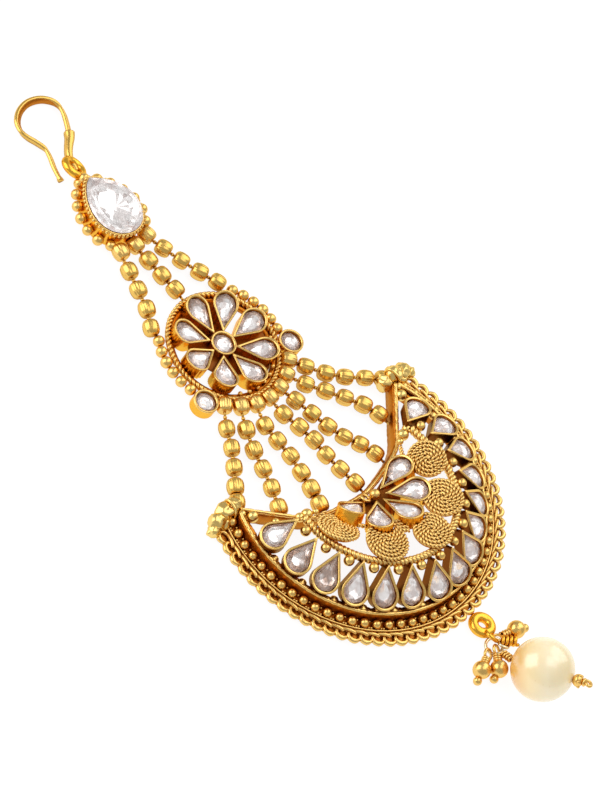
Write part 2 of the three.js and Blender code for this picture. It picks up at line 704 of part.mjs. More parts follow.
function clusterBall({ x, y, endX, endY, wireX, wireY }) {
  const { radius, endRadius, wire } = CLUSTER_BALL;
  const centre = new THREE.Vector3(x, y, radius);
  const end = new THREE.Vector3(endX, endY, endRadius + 0.1);
  const wireEnd = new THREE.Vector3(wireX, wireY, wire);
  return join([
    toSolid(ball(radius, 1).translate(centre.x, centre.y, centre.z)),
    toSolid(ball(endRadius).translate(end.x, end.y, end.z)),
    toSolid(rod(end, centre, wire * 0.7, 4)),
    toSolid(rod(centre, wireEnd, wire, 5)),
  ]);
}

function pearlSolids() {
  const { centre, radius, hole } = PEARL;
  const { direction, radius: pinRadius, endBead, loop, wire } = PEARL_PIN;
  const middle = new THREE.Vector3(...centre);
  const along = new THREE.Vector3(...direction).normalize();
  const at = (distance) => middle.clone().addScaledVector(along, distance);
  const sphere = new THREE.SphereGeometry(radius, 14, 9).rotateX(Math.PI / 2);
  const pearl = toSolid(sphere.translate(...centre)).subtract(toSolid(rod(at(-8), at(8), hole)));
  const beadCentre = at(radius + endBead);
  const loopCentre = at(radius + 2 * endBead + loop / 2);
  const loopSolid = new THREE.TorusGeometry(loop, wire, 4, 9);
  const pin = join([
    toSolid(rod(at(-radius - 0.9), beadCentre, pinRadius)),
    toSolid(ball(endBead, 1).translate(beadCentre.x, beadCentre.y, beadCentre.z)),
    toSolid(loopSolid.translate(loopCentre.x, loopCentre.y, loopCentre.z)),
  ]);
  return { pearl, pin };
}

// ---------------------------------------------------------------- the jewel

const jewel = new THREE.Group();
jewel.add(buildCrescent());
jewel.add(buildMedallion());
addMesh(jewel, 'crest_setting', crestSolid(), gold());
addMesh(jewel, 'crest_stone', crestStone(), glass());
addMesh(jewel, 'hook', toSolid(ribbon(HOOK_ROUTE, 0, HOOK_HEIGHT)), gold());
addMesh(jewel, 'hook_ring', ringSolid(HOOK_RING, 'y'), gold());
UPPER_CHAINS.forEach((centres, index) => {
  addMesh(jewel, `upper_chain_${index + 1}`, beadStretch(centres), gold());
});
LOWER_CHAINS.forEach((centres, index) => {
  addMesh(jewel, `lower_chain_${index + 1}`, beadStretch(centres), gold());
});
addMesh(jewel, 'drop_ring', ringSolid(DROP_RING), gold());
addMesh(jewel, 'link_ring', ringSolid(LINK_RING), gold());
CLUSTER_BALLS.forEach((place, index) => {
  addMesh(jewel, `cluster_ball_${index + 1}`, clusterBall(place), gold());
});
const { pearl, pin } = pearlSolids();
addMesh(jewel, 'pearl', pearl, nacre());
addMesh(jewel, 'pearl_pin', pin, gold());

const box = new THREE.Box3().setFromObject(jewel, true);
jewel.position.set(-(box.min.x + box.max.x) / 2, -(box.min.y + box.max.y) / 2, -box.min.z);

export default jewel;
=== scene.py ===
import random
from functools import partial
from math import acos, asin, cos, hypot, pi, radians, sin

import bpy
import numpy as np
from mathutils import Matrix, Vector, noise


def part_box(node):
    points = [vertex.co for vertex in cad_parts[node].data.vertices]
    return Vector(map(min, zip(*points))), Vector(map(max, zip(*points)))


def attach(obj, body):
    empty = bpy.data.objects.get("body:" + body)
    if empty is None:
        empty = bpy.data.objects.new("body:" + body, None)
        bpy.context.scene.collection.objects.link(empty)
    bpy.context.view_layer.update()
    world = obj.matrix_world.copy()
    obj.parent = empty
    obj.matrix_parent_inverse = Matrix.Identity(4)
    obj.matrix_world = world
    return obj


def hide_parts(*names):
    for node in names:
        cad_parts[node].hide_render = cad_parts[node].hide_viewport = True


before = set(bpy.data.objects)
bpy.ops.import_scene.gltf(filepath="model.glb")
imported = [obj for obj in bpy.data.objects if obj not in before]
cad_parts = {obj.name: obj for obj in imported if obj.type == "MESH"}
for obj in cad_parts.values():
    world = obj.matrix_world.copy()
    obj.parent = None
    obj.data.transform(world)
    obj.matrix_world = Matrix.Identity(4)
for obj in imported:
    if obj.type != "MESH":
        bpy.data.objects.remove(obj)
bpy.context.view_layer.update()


def vec(*values):
    return np.array(values, float)


# ---- the jewel's place

MM = 0.001
TURN = 2 * pi
MEDALLION_CENTRE = (0, 33.8)
low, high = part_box("medallion_centre_stone")
ORIGIN = np.array([
    (low.x + high.x) / 2 - MEDALLION_CENTRE[0] * MM, (low.y + high.y) / 2 - MEDALLION_CENTRE[1] * MM, 0,
])
CRESCENT_PLACE = Matrix.Translation((0, -0.25, 0)) @ Matrix.Rotation(radians(2.2), 4, "Z")
MEDALLION_PLACE = Matrix.Translation((*MEDALLION_CENTRE, 0))
IN_PLACE = Matrix.Identity(4)
UP = vec(0, 0, 1)
PEARL_CENTRE = vec(2, -43.9, 5.5)
PEARL_RADIUS = 5.5
# The way from the pearl's middle towards its painted golden reflection.
PEARL_REFLECTION_SIDE = (-0.64, 0.66, -0.4)
dice = random.Random(7)

# ---- materials

WHITE = (1, 1, 1, 1)
LOOKS = {}
scene = bpy.context.scene


def grey(value):
    return (value, value, value, 1)


def new_material(name, **inputs):
    """A principled material's tree. Inputs are named with an underscore for each space."""
    LOOKS[name] = bpy.data.materials.new(name)
    LOOKS[name].use_nodes = True
    tree = LOOKS[name].node_tree
    for key, value in inputs.items():
        tree.nodes["Principled BSDF"].inputs[key.replace("_", " ")].default_value = value
    return tree


def feed(tree, name, source):
    """Links a value to one of the shader's inputs."""
    tree.links.new(source, tree.nodes["Principled BSDF"].inputs[name])


def add_node(tree, kind, **values):
    """A node with its inputs, named in the same way, and its settings."""
    made = tree.nodes.new(kind)
    for key, value in values.items():
        socket = key.replace("_", " ")
        if socket in made.inputs:
            made.inputs[socket].default_value = value
        else:
            setattr(made, key, value)
    return made


def ramp(tree, source, *stops):
    made = tree.nodes.new("ShaderNodeValToRGB")
    elements = made.color_ramp.elements
    while len(elements) < len(stops):
        elements.new(0.5)
    for element, (position, colour) in zip(elements, stops):
        element.position = position
        element.color = colour
    tree.links.new(source, made.inputs["Fac"])
    return made.outputs["Color"]


def noise_of(tree, scale, detail=3):
    """Noise with a scale in lumps a millimetre."""
    where = add_node(tree, "ShaderNodeTexCoord")
    made = add_node(tree, "ShaderNodeTexNoise", Scale=scale / MM, Detail=detail, Roughness=0.55)
    tree.links.new(where.outputs["Object"], made.inputs["Vector"])
    return made.outputs["Fac"]


def mixed(tree, factor, first, second, blend="MIX"):
    made = add_node(tree, "ShaderNodeMix", data_type="RGBA", blend_type=blend)
    for number, value in ((0, factor), (6, first), (7, second)):
        if isinstance(value, bpy.types.NodeSocket):
            tree.links.new(value, made.inputs[number])
        else:
            made.inputs[number].default_value = value
    return made.outputs[2]


def bumped(tree, height, strength, distance):
    made = add_node(tree, "ShaderNodeBump", Strength=strength, Distance=distance * MM)
    tree.links.new(height, made.inputs["Height"])
    feed(tree, "Normal", made.outputs["Normal"])


def make_gold(name, clean, shade_and_patina_tone, roughness, reach, bump):
    """Plated gold whose recesses are darkened as painted shade and patina, and whose surface is a little
    uneven.
    """
    tree = new_material(
        name, Metallic=1, Specular_Tint=(1, 0.8, 0.45, 1), Coat_Weight=0.12, Coat_Roughness=0.22)
    # Ambient occlusion darkens the recesses towards the second tone: painted shade, partly patina.
    occlusion_shade = add_node(tree, "ShaderNodeAmbientOcclusion", samples=8, Distance=reach * MM)
    shade_and_patina_mask = ramp(tree, occlusion_shade.outputs["AO"], (0.12, grey(0)), (0.72, grey(1)))
    worn = mixed(tree, noise_of(tree, 2.2), (0.86, 0.82, 0.74, 1), WHITE)
    feed(tree, "Base Color", mixed(tree, 1, mixed(tree, shade_and_patina_mask, shade_and_patina_tone, clean), worn, "MULTIPLY"))
    rough = ramp(tree, noise_of(tree, 3.5), (0.3, grey(roughness[0])), (0.75, grey(roughness[1])))
    feed(tree, "Roughness", rough)
    bumped(tree, noise_of(tree, 1.6, detail=4), bump, 0.12)


def make_foil(name, metallic, glow, reflection_tints, patch):
    """The silvered back of a cut stone, with brown-pink patches painted as reflections of its gold cup, and
    a painted glow.
    """
    # The emission is painted light, and the darker colours of the ramp are a painted reflection of the gold
    # cup.
    tree = new_material(
        name, Metallic=metallic, Roughness=0.12,
        Emission_Color=(1, 0.97, 0.96, 1), Emission_Strength=glow)
    feed(tree, "Base Color", ramp(tree, noise_of(tree, patch, detail=1.5), *zip((0.38, 0.5, 0.58), reflection_tints)))
    bumped(tree, noise_of(tree, 0.8, detail=1), 0.05, 0.2)


def make_reflection_foil():
    """The outer facets of a stone's back, tinted brown and pink as a painted reflection of the gold of its
    cup, with a faint painted glow.
    """
    tree = new_material(
        "gold_reflection_foil", Metallic=0.7, Roughness=0.18,
        Emission_Color=(1, 0.88, 0.8, 1), Emission_Strength=0.05)
    feed(tree, "Base Color", ramp(
        tree, noise_of(tree, 0.8),
        (0.34, (0.44, 0.28, 0.19, 1)), (0.5, (0.74, 0.58, 0.49, 1)), (0.66, (0.95, 0.88, 0.84, 1)),
    ))
    bumped(tree, noise_of(tree, 1.5), 0.25, 0.2)


def make_glass():
    tree = new_material("cut_glass", Roughness=0.015, IOR=1.52, Transmission_Weight=1)
    feed(tree, "Base Color", mixed(tree, noise_of(tree, 0.5), (1, 0.985, 0.975, 1), (0.97, 0.95, 0.94, 1)))
    bumped(tree, noise_of(tree, 2), 0.03, 0.05)


def make_pearl():
    """Cream nacre with a painted golden reflection of the cluster on the side towards it and a faint
    painted glow, under a strong clear lustre.
    """
    # The emission is a faint painted glow.
    tree = new_material(
        "pearl_skin", Roughness=0.35, Emission_Color=(1, 0.84, 0.52, 1), Emission_Strength=0.09,
        Subsurface_Weight=0.15, Subsurface_Radius=(1.2 * MM, 0.8 * MM, 0.5 * MM), Subsurface_Scale=1,
        Coat_Weight=0.75, Coat_Roughness=0.21, Coat_IOR=2.2)
    where = add_node(tree, "ShaderNodeTexCoord")
    along = add_node(tree, "ShaderNodeVectorMath", operation="DOT_PRODUCT")
    along.inputs[1].default_value = PEARL_REFLECTION_SIDE
    tree.links.new(where.outputs["Object"], along.inputs[0])
    middle, reach = (ORIGIN + PEARL_CENTRE * MM) @ PEARL_REFLECTION_SIDE, PEARL_RADIUS * MM
    spread = add_node(tree, "ShaderNodeMapRange", From_Min=middle - reach, From_Max=middle + reach)
    tree.links.new(along.outputs["Value"], spread.inputs["Value"])
    # The ramp paints the cluster's golden reflection over the cream, on the side that faces it.
    body = ramp(
        tree, spread.outputs["Result"],
        (0.05, (0.95, 0.78, 0.44, 1)), (0.45, (0.96, 0.82, 0.54, 1)),
        (0.74, (0.92, 0.7, 0.34, 1)), (0.96, (0.8, 0.4, 0.06, 1)),
    )
    cloudy = ramp(tree, noise_of(tree, 0.16, detail=2), (0.3, (0.93, 0.9, 0.84, 1)), (0.6, WHITE))
    specks = ramp(tree, noise_of(tree, 1.4), (0.24, (0.86, 0.79, 0.66, 1)), (0.3, WHITE))
    clouded = mixed(tree, 1, body, cloudy, "MULTIPLY")
    feed(tree, "Base Color", mixed(tree, 1, clouded, specks, "MULTIPLY"))
    bumped(tree, noise_of(tree, 1.1), 0.04, 0.1)


# Clean tone, tone painted into the hollows as shade and patina, roughness from and to, how far that painted
# shade reaches, and unevenness.
GOLDS = {
    "gold": ((0.95, 0.63, 0.2, 1), (0.62, 0.23, 0.018, 1), (0.22, 0.36), 0.8, 0.18),
    "rope_gold": ((0.97, 0.66, 0.23, 1), (0.42, 0.13, 0.007, 1), (0.24, 0.38), 0.5, 0.1),
    "hook_gold": ((0.82, 0.52, 0.13, 1), (0.4, 0.13, 0.009, 1), (0.2, 0.34), 1.6, 0.12),
    "bead_gold": ((0.9, 0.58, 0.15, 1), (0.36, 0.11, 0.008, 1), (0.22, 0.36), 2.4, 0.15),
    "amber_gold": ((0.98, 0.53, 0.06, 1), (0.6, 0.2, 0.008, 1), (0.18, 0.3), 0.5, 0.25),
    # The next three are darker copies of the gold for pockets, plates, walls and the band, which lie in
    # shade: painted shade.
    "recess_shadow_gold": ((0.62, 0.22, 0.015, 1), (0.38, 0.1, 0.005, 1), (0.3, 0.45), 1.1, 0.25),
    "brown_shadow_gold": ((0.54, 0.18, 0.014, 1), (0.3, 0.075, 0.005, 1), (0.3, 0.45), 1, 0.25),
    "deepest_shadow_gold": ((0.22, 0.06, 0.005, 1), (0.11, 0.025, 0.002, 1), (0.3, 0.45), 1.2, 0.25),
    "nugget_gold": ((0.96, 0.7, 0.24, 1), (0.66, 0.3, 0.03, 1), (0.2, 0.32), 0.5, 0.08),
    "pale_wire": ((0.88, 0.76, 0.52, 1), (0.6, 0.34, 0.1, 1), (0.16, 0.28), 0.4, 0.05),
}
# How metallic, its painted glow, its colours from the painted gold reflection outwards to white, and its
# patches a millimetre.
FOILS = {
    "foil": (0.6, 0.12, ((0.46, 0.29, 0.21, 1), (0.9, 0.82, 0.79, 1), (0.99, 0.98, 0.98, 1)), 0.45),
    "core_foil": (0.7, 0.28, ((0.66, 0.55, 0.52, 1), (0.95, 0.93, 0.93, 1), (1, 0.99, 0.99, 1)), 0.7),
    "bright_foil": (0.8, 0.22, ((0.88, 0.82, 0.81, 1), (0.97, 0.95, 0.95, 1), (1, 0.99, 0.99, 1)), 0.4),
    "grey_foil": (0.8, 0.15, ((0.66, 0.54, 0.51, 1), (0.86, 0.79, 0.77, 1), (0.98, 0.96, 0.95, 1)), 0.8),
}
for name, looks in GOLDS.items():
    make_gold(name, *looks)
for name, looks in FOILS.items():
    make_foil(name, *looks)
make_reflection_foil()
make_glass()
make_pearl()

# ---- building meshes


def moved(points, place):
    """Points turned and moved by a place."""
    return np.asarray(points, float) @ np.array(place.to_3x3()).T + np.array(place.translation)


class Work:
    """Collects the faces of one piece."""

    def __init__(self):
        self.points, self.faces, self.slots, self.smooth = [], [], [], []

    def add(self, points, faces, place=IN_PLACE, slot=0, smooth=True):
        first = len(self.points)
        self.points.extend(moved(points, place).tolist())
        self.faces.extend(tuple(first + i for i in face) for face in faces)
        self.slots.extend([slot] * len(faces))
        self.smooth.extend([smooth] * len(faces))


def add_object(name, data):
    made = bpy.data.objects.new(name, data)
    scene.collection.objects.link(made)
    return made


def make_piece(name, build, looks, replaced=(), place=IN_PLACE):
    """Builds a piece and makes it an object in metres that rides with the jewel."""
    work = Work()
    build(work)
    mesh = bpy.data.meshes.new(name)
    mesh.from_pydata((moved(work.points, place) * MM + ORIGIN).tolist(), [], work.faces)
    for look in looks:
        mesh.materials.append(LOOKS[look])
    mesh.polygons.foreach_set("material_index", work.slots)
    mesh.polygons.foreach_set("use_smooth", work.smooth)
    mesh.validate()
    mesh.update()
    made = add_object(name, mesh)
    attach(made, "root")
    if replaced:
        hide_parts(*replaced)


def unit(vector):
    return vector / (np.linalg.norm(vector) + 1e-12)


def smooth_path(points, per_span):
    """Points along a Catmull-Rom curve through the given ones."""
    knots = np.asarray(points, float)
    last = len(knots) - 1
    made = []
    for i in range(last):
        a, b, c, d = (knots[min(max(i + k, 0), last)] for k in (-1, 0, 1, 2))
        for t in np.arange(per_span) / per_span:
            made.append(0.5 * (2 * b + (c - a) * t + (2 * a - 5 * b + 4 * c - d) * t * t
                               + (3 * b - a - 3 * c + d) * t ** 3))
    return np.array(made + [knots[-1]])


def lengths_along(path):
    return np.concatenate([[0], np.cumsum(np.linalg.norm(np.diff(path, axis=0), axis=1))])


def at_lengths(path, lengths, wanted):
    return np.column_stack([np.interp(wanted, lengths, column) for column in path.T])


def even_path(path, step):
    """The same path with its points a step apart."""
    lengths = lengths_along(path)
    count = max(2, int(round(lengths[-1] / step)) + 1)
    return at_lengths(path, lengths, np.linspace(0, lengths[-1], count))


def resampled(outline, count, shift):
    """An outline's points spaced evenly round it, moved on by a part of a step."""
    loop = np.vstack([outline, outline[:1]])
    lengths = lengths_along(loop)
    return at_lengths(loop, lengths, (np.arange(count) + shift) / count * lengths[-1])


def frames_along(path, closed, up):
    """Side and up directions at each point of a path."""
    along = np.roll(path, -1, axis=0) - np.roll(path, 1, axis=0) if closed else np.gradient(path, axis=0)
    along /= np.linalg.norm(along, axis=1, keepdims=True) + 1e-12
    sides, lifts = np.zeros_like(path), np.zeros_like(path)
    lift = UP if up is None else up
    if up is None and abs(along[0] @ UP) > 0.9:
        lift = vec(1, 0, 0)
    for i, direction in enumerate(along):
        sides[i] = unit(np.cross(direction, lift))
        lifts[i] = unit(np.cross(sides[i], direction))
        if up is None:
            lift = lifts[i]
    return sides, lifts


def round_trip(count):
    """Each number below a count with the next one round."""
    return [(j, (j + 1) % count) for j in range(count)]


def tube_faces(rows, ring, caps=True, closed=False):
    """Faces between rows of ring points each, with caps on the first and the last row."""
    faces = []
    for i in range(rows if closed else rows - 1):
        a, b = i * ring, (i + 1) % rows * ring
        for j, k in round_trip(ring):
            faces.append((a + j, a + k, b + k, b + j))
    if caps and not closed:
        faces.append(tuple(reversed(range(ring))))
        faces.append(tuple((rows - 1) * ring + j for j in range(ring)))
    return faces


def turned_over(faces):
    """The same faces wound the other way, from the same corner."""
    return [face[:1] + face[:0:-1] for face in faces]


def sweep(work, path, section, closed=False, up=None, widths=1, heights=1, place=IN_PLACE, slot=0):
    """Sweeps a closed section, given as (side, up) points, along a path."""
    path, section = np.asarray(path, float), np.asarray(section, float)
    sides, lifts = frames_along(path, closed, up)
    across = section[:, :1] * (sides * np.reshape(widths, (-1, 1)))[:, None]
    upward = section[:, 1:] * (lifts * np.reshape(heights, (-1, 1)))[:, None]
    points = (path[:, None] + across + upward).reshape(-1, 3)
    work.add(points, tube_faces(len(path), len(section), closed=closed), place, slot)


def round_spot(radius, turn, height):
    return (radius * cos(turn), radius * sin(turn), height)


def circle(radius, sides):
    return [(radius * cos(a), radius * sin(a)) for a in (TURN * i / sides for i in range(sides))]


def rounded_box(width, height, corner):
    """A rectangle with cut corners, for sweeping."""
    w, h = width / 2, height / 2
    return [
        (w, -h + corner), (w, h - corner), (w - corner, h), (-w + corner, h),
        (-w, h - corner), (-w, -h + corner), (-w + corner, -h), (w - corner, -h),
    ]


def tube(work, path, radius, sides):
    sweep(work, path, circle(radius, sides))


def rope(work, path, radius, pitch, sides, steps, up=None):
    """Two strands twisted round each other along a path."""
    path = even_path(np.asarray(path, float), pitch / steps)
    sides_along, lifts = frames_along(path, False, up)
    for start in (0, 0.5):
        turn = TURN * (np.arange(len(path)) / steps + start)
        offset = np.cos(turn)[:, None] * sides_along - np.sin(turn)[:, None] * lifts
        sweep(work, path + radius * 0.52 * offset, circle(radius * 0.56, sides))


def ball(work, centre, radius, segments=14, rings=9, place=IN_PLACE, squash=(1, 1, 1)):
    points = [(0, 0, 1)]
    for i in range(1, rings):
        tall = pi * i / rings
        points += [(x, y, cos(tall)) for x, y in circle(sin(tall), segments)]
    points.append((0, 0, -1))
    foot = 1 + (rings - 2) * segments
    faces = [(0, 1 + j, 1 + k) for j, k in round_trip(segments)]
    for face in turned_over(tube_faces(rings - 1, segments, caps=False)):
        faces.append(tuple(1 + i for i in face))
    faces += [(foot + k, foot + j, len(points) - 1) for j, k in round_trip(segments)]
    work.add(np.array(points) * radius * np.array(squash) + np.array(centre), faces, place)


def turn_to(direction, centre):
    """A place whose +Z runs along a direction."""
    turned = Vector(direction).to_track_quat("Z", "Y").to_matrix().to_4x4()
    return Matrix.Translation(centre) @ turned


# The fluted bead's radius and height, from its foot up.
BEAD_PROFILE = [
    (0.42, -1.38), (0.8, -1.42), (1.08, -1.3), (1.34, -0.98), (1.47, -0.45), (1.5, 0),
    (1.47, 0.45), (1.34, 0.98), (1.08, 1.3), (0.8, 1.42), (0.42, 1.38),
]


def fluted_bead(work, centre, direction, size):
    """A barrel bead with grooves pressed along it."""
    segments = 56
    grooves = dice.choice((13, 14, 15))
    start = dice.uniform(0, TURN)
    depth = dice.uniform(0.09, 0.14)
    strengths = [dice.uniform(0.4, 1.3) for _ in range(grooves)]
    points = []
    for radius, height in BEAD_PROFILE:
        fade = max(0, min(1, (radius - 0.75) * 1.6))
        for j in range(segments):
            turn = TURN * j / segments
            groove = (turn + start) / TURN * grooves
            dent = depth * strengths[int(groove) % grooves] * fade * max(0, cos(TURN * groove)) ** 2
            points.append(round_spot(radius - dent, turn, height))
    work.add(np.array(points) * size, tube_faces(len(BEAD_PROFILE), segments), turn_to(direction, centre))


# ---- outlines, cups and stones


def pear(width, length, inset=0, count=40):
    """A pear, its round end about (0, 0) and its tip on +X, as points from the tip round."""
    full = width / 2
    radius = full - inset
    tip = (length - full) * radius / full
    touch = acos(radius / tip)
    side = max(2, count // 5)
    arc = count - 2 * side
    x, y = radius * cos(touch), radius * sin(touch)
    flank = [(tip + (x - tip) * i / side, y * i / side) for i in range(1, side)]
    turns = [touch + (TURN - 2 * touch) * i / arc for i in range(arc + 1)]
    round_end = [(radius * cos(turn), radius * sin(turn)) for turn in turns]
    return np.array([(tip, 0)] + flank + round_end + [(x, -y) for x, y in reversed(flank)])


def full_drop(width, length, fullness, offset, count):
    """A drop with curved sides, its round foot at (0, 0) and its tip on +Y."""
    def half(angle):
        return sin(angle) * sin(angle / 2) ** fullness

    widest = max(half(radians(2 * i)) for i in range(1, 90))
    made = []
    for i in range(count):
        angle = TURN * (i + 0.5) / count
        folded = min(angle, TURN - angle)
        x = (width / 2 + offset) * half(folded) / widest
        made.append((x if angle > pi else -x, length / 2 + (length / 2 + offset) * cos(folded)))
    return np.array(made)


def disc(radius, inset):
    return np.array(circle(radius - inset, 40))


def bezel(work, outline_at, depth, wall, pocket, place, flutes=0, rim=0.1, outer_slot=2):
    """A cup for a stone: slot 0 is its rounded rim, slot 1 its pocket and outer_slot its wall."""
    count = len(outline_at(0))
    lip = (wall * 0.4, 0)
    outer_rows = [(0.05, -depth), (0.03, -rim * 2.6), (-0.015, -rim * 2), (0, -rim), (0.035, -0.02), lip]
    wave = np.zeros(count)
    if flutes:
        wave = 0.2 * (0.5 + 0.5 * np.cos(TURN * np.arange(count) * flutes / count))
    points = []
    for number, (inset, height) in enumerate(outer_rows):
        outline = outline_at(inset)
        if number < 2:
            outline = outline * (1 - wave[:, None] / 2.4)
        points += [(x, y, height) for x, y in outline]
    faces = tube_faces(len(outer_rows), count)
    work.add(points, faces[:count], place, outer_slot)
    work.add(points, faces[count:-2], place, 0)
    work.add(points, faces[-2:-1], place, 1)
    inner_rows = [lip, (wall * 0.8, -0.03), (wall, -rim), (wall + 0.03, -pocket)]
    points = [(x, y, height) for inset, height in inner_rows for x, y in outline_at(inset)]
    faces = tube_faces(len(inner_rows), count)
    work.add(points, faces[:2 * count], place, 0)
    work.add(points, faces[2 * count:-2] + faces[-1:], place, 1)


def gem(work, outline, middle, heights, place, count, crown=0.74, flat=0.46, inner_slot=1, every=0):
    """A cut stone, given the heights of its girdle, table and culet.

    Slot 0 is its glass, inner_slot its back, slot 2 the edge of the back and 3 its middle.
    """
    girdle, table, culet = heights

    def layer(shift, width, height, uneven=0):
        row = np.array(middle) + (resampled(outline, count, shift) - np.array(middle)) * width
        return [(x, y, height + dice.uniform(-uneven, uneven)) for x, y in row]

    rise, drop, last = table - girdle, culet - girdle, 2 * count
    front = layer(0, 1, girdle) + layer(0.5, crown, girdle + rise * 0.62) + layer(0, flat, table)
    back = layer(0, 1, girdle) + layer(0.5, 0.7, girdle + drop * 0.62, 0.06)
    back += layer(0, 0.48, girdle + drop * 0.86, 0.06) + [(*middle, culet)]
    star, kites, edge, inner, core = [], [], [], [], []
    for j, k in round_trip(count):
        a, b, c, d = count + j, count + k, last + j, last + k
        star += [(j, k, a), (k, b, a)]
        kites += [(a, d, c), (a, b, d)]
        edge += [(k, j, a), (b, k, a)]
        inner += [(d, a, c), (b, a, d)]
        core.append((d, c, last + count))
    if every:
        edge += inner[::every]
        inner = [face for number, face in enumerate(inner) if number % every]
    work.add(front, star + kites + [tuple(range(last, last + count))], place, 0, smooth=False)
    for faces, slot in ((edge, 2), (inner, inner_slot), (core, 3 if inner_slot == 1 else 1)):
        work.add(back, faces, place, slot, smooth=False)


def pear_stone(work, width, length, inset, place, inner_slot=1):
    outline = pear(width, length, inset, 120)
    gem(work, outline, (0.5, 0), (-0.49, 0.11, -1.25), place, count=10, inner_slot=inner_slot)


def round_stone(work, radius, place, top):
    heights = (top - 0.35, top + 0.2, top - 0.72)
    gem(work, np.array(circle(radius, 360)), (0, 0), heights, place, count=9)


def slab(work, centre, section, degrees):
    """A slab that fans out round a centre, with its section's corners as (reach, height), in slot 3 as
    painted shade.
    """
    points = [round_spot(reach, turn, z) for turn in np.radians(degrees) for reach, z in section]
    place = Matrix.Translation((*centre, 0))
    work.add(points, tube_faces(len(degrees), len(section)), place, slot=3, smooth=False)


def ring(work, centre, radius, facing, section, count=36, stretch=1, up=None, slot=0):
    place = turn_to(facing, centre)
    path = [place @ Vector((x * stretch, y, 0)) for x, y in circle(radius, count)]
    sweep(work, path, section, closed=True, up=up, slot=slot)


def rough_line(count, step, *seed):
    return np.array([noise.noise(Vector((i * step, *seed))) for i in range(count)])


# ---- crescent

STONE_SIZE = (4.95, 7.9)
STONE_DEPTH = 2.3
WALL = 0.42
POCKET = 1.4
STONE_INSET = WALL + 0.04
HALF_SWEEP = radians(110)
BAND_SWEEP = radians(113.5)
# The row of cups: angle round the ring, how far out from the rest, and roll.
STONE_ROW = [
    (-96.9, 0, 0), (-81.8, 0, 0), (-67, 0, 0), (-52.7, 0, 0), (-38.3, 0, 0), (-24.2, 0, 0),
    (-9.9, 0.5, 12), (3.6, 0.6, 17), (17, 0.4, 16), (30.5, 0, 8), (44, 0, 0), (57.8, 0, 0),
    (72, 0, 0), (86, -0.3, -6), (101.5, -1.8, -12),
]
# Stones whose back takes the painted gold reflection over more of its facets.
BROWNISH_STONES = (1, 2)
# The row's slope in degrees beside the horns, and how much more at the foot.
ROW_SLOPE = (15.1, 26.3)
LEDGE_RADIUS = 23.05
# Rings: radius beside the horns, how much more at the foot, and the same for the height.
STONE_RING = (21.95, 0, 5.85, 0)
GRANULES = (16.7, 1.4, 6.2, 1.95)
ROPE_ARC = (15, 1.85, 6.1, 2.15)
# Coiled discs: angle round the ring, its radius, the disc's radius, how far it leans, and which way.
SPIRALS = [
    (-75, 12.5, 3.95, 28, 43), (-36, 12.9, 4.15, 5, 50), (2.2, 14.1, 3.8, 10, 90),
    (34, 13.3, 3.95, 14, 128), (70, 12.5, 3.65, 17, 167),
]
SPIRAL_HEIGHT = (6.8, 2.4)
COIL_GAP = 0.70


def polar(radius, angle, height):
    return vec(radius * sin(angle), -radius * cos(angle), height)


def on_ring(ring, angle):
    radius, more_radius, height, more_height = ring
    near = max(cos(angle), 0)
    return polar(radius + more_radius * near, angle, height + more_height * near)


def arc_path(radius, height, half_sweep):
    return np.array([polar(radius, a, height) for a in np.linspace(-half_sweep, half_sweep, 200)])


def row_place(degrees, further, roll):
    """Where a cup of the row lies: its tip inwards and up the slope."""
    angle, roll = radians(degrees), radians(roll)
    slope = radians(ROW_SLOPE[0] + ROW_SLOPE[1] * max(cos(angle), 0))
    centre = on_ring((STONE_RING[0] + further, *STONE_RING[1:]), angle)
    to_tip = UP * sin(slope) - polar(1, angle, 0) * cos(slope)
    level = vec(-cos(angle), -sin(angle), 0)
    across = level * cos(roll) - np.cross(to_tip, level) * sin(roll)
    columns = (to_tip, across, np.cross(to_tip, across), centre)
    return Matrix([[column[i] for column in columns] for i in range(3)] + [[0, 0, 0, 1]])


# The band's section: radius and height.
BAND_SECTION = [
    (27.7, 0.05), (27.7, 0.55), (26.6, 0.7), (26.3, 1.35), (26.1, 1.4), (25.95, 1.25), (24.4, 1.25),
    (24.15, 3.1), (23.95, 3.3), (23.6, 3.2), (23.35, 0.05),
]


def build_band(work):
    count = 121
    angles = np.linspace(-BAND_SWEEP, BAND_SWEEP, count)
    points = [polar(radius, angle, height) for angle in angles for radius, height in BAND_SECTION]
    work.add(points, turned_over(tube_faces(count, len(BAND_SECTION))), smooth=False)


# The notched wires along the ridge and along the bead channel: radius, height, thickness and notch.
RIDGE_WIRES = [(23.85, 3.42, 0.34, 0.34), (26.12, 1.5, 0.17, 0.12)]


def build_ridge(work):
    for radius, height, thick, notch in RIDGE_WIRES:
        path = even_path(arc_path(radius, height, BAND_SWEEP), 0.22)
        uneven = rough_line(len(path), 0.33, radius, 0)
        beat = 1 - notch * (np.arange(len(path)) % 5 == 0) + 0.35 * notch * uneven
        sweep(work, path, circle(thick, 7), up=UP, widths=1 + notch * uneven, heights=beat)


LINK_COUNT = 48
# One link: how far along the rim, how far outwards, how high, and its thickness.
LINK_ROUTE = [
    (0.98, 0.26, 0.02, 0.5), (0.8, 0.76, 0.04, 0.8), (0.1, 1.06, 0.06, 1.12), (-0.64, 0.8, 0.06, 1),
    (-0.98, 0.22, 0.06, 0.85), (-0.82, -0.34, 0.08, 0.75), (-0.28, -0.62, 0.14, 0.66),
    (0.46, -0.62, 0.42, 0.62), (1.3, -0.52, 0.6, 0.66), (2.02, -0.36, 0.56, 0.72),
    (2.42, -0.2, 0.42, 0.6),
]
LINK_RADIUS, LINK_HEIGHT = 27.25, 0.95


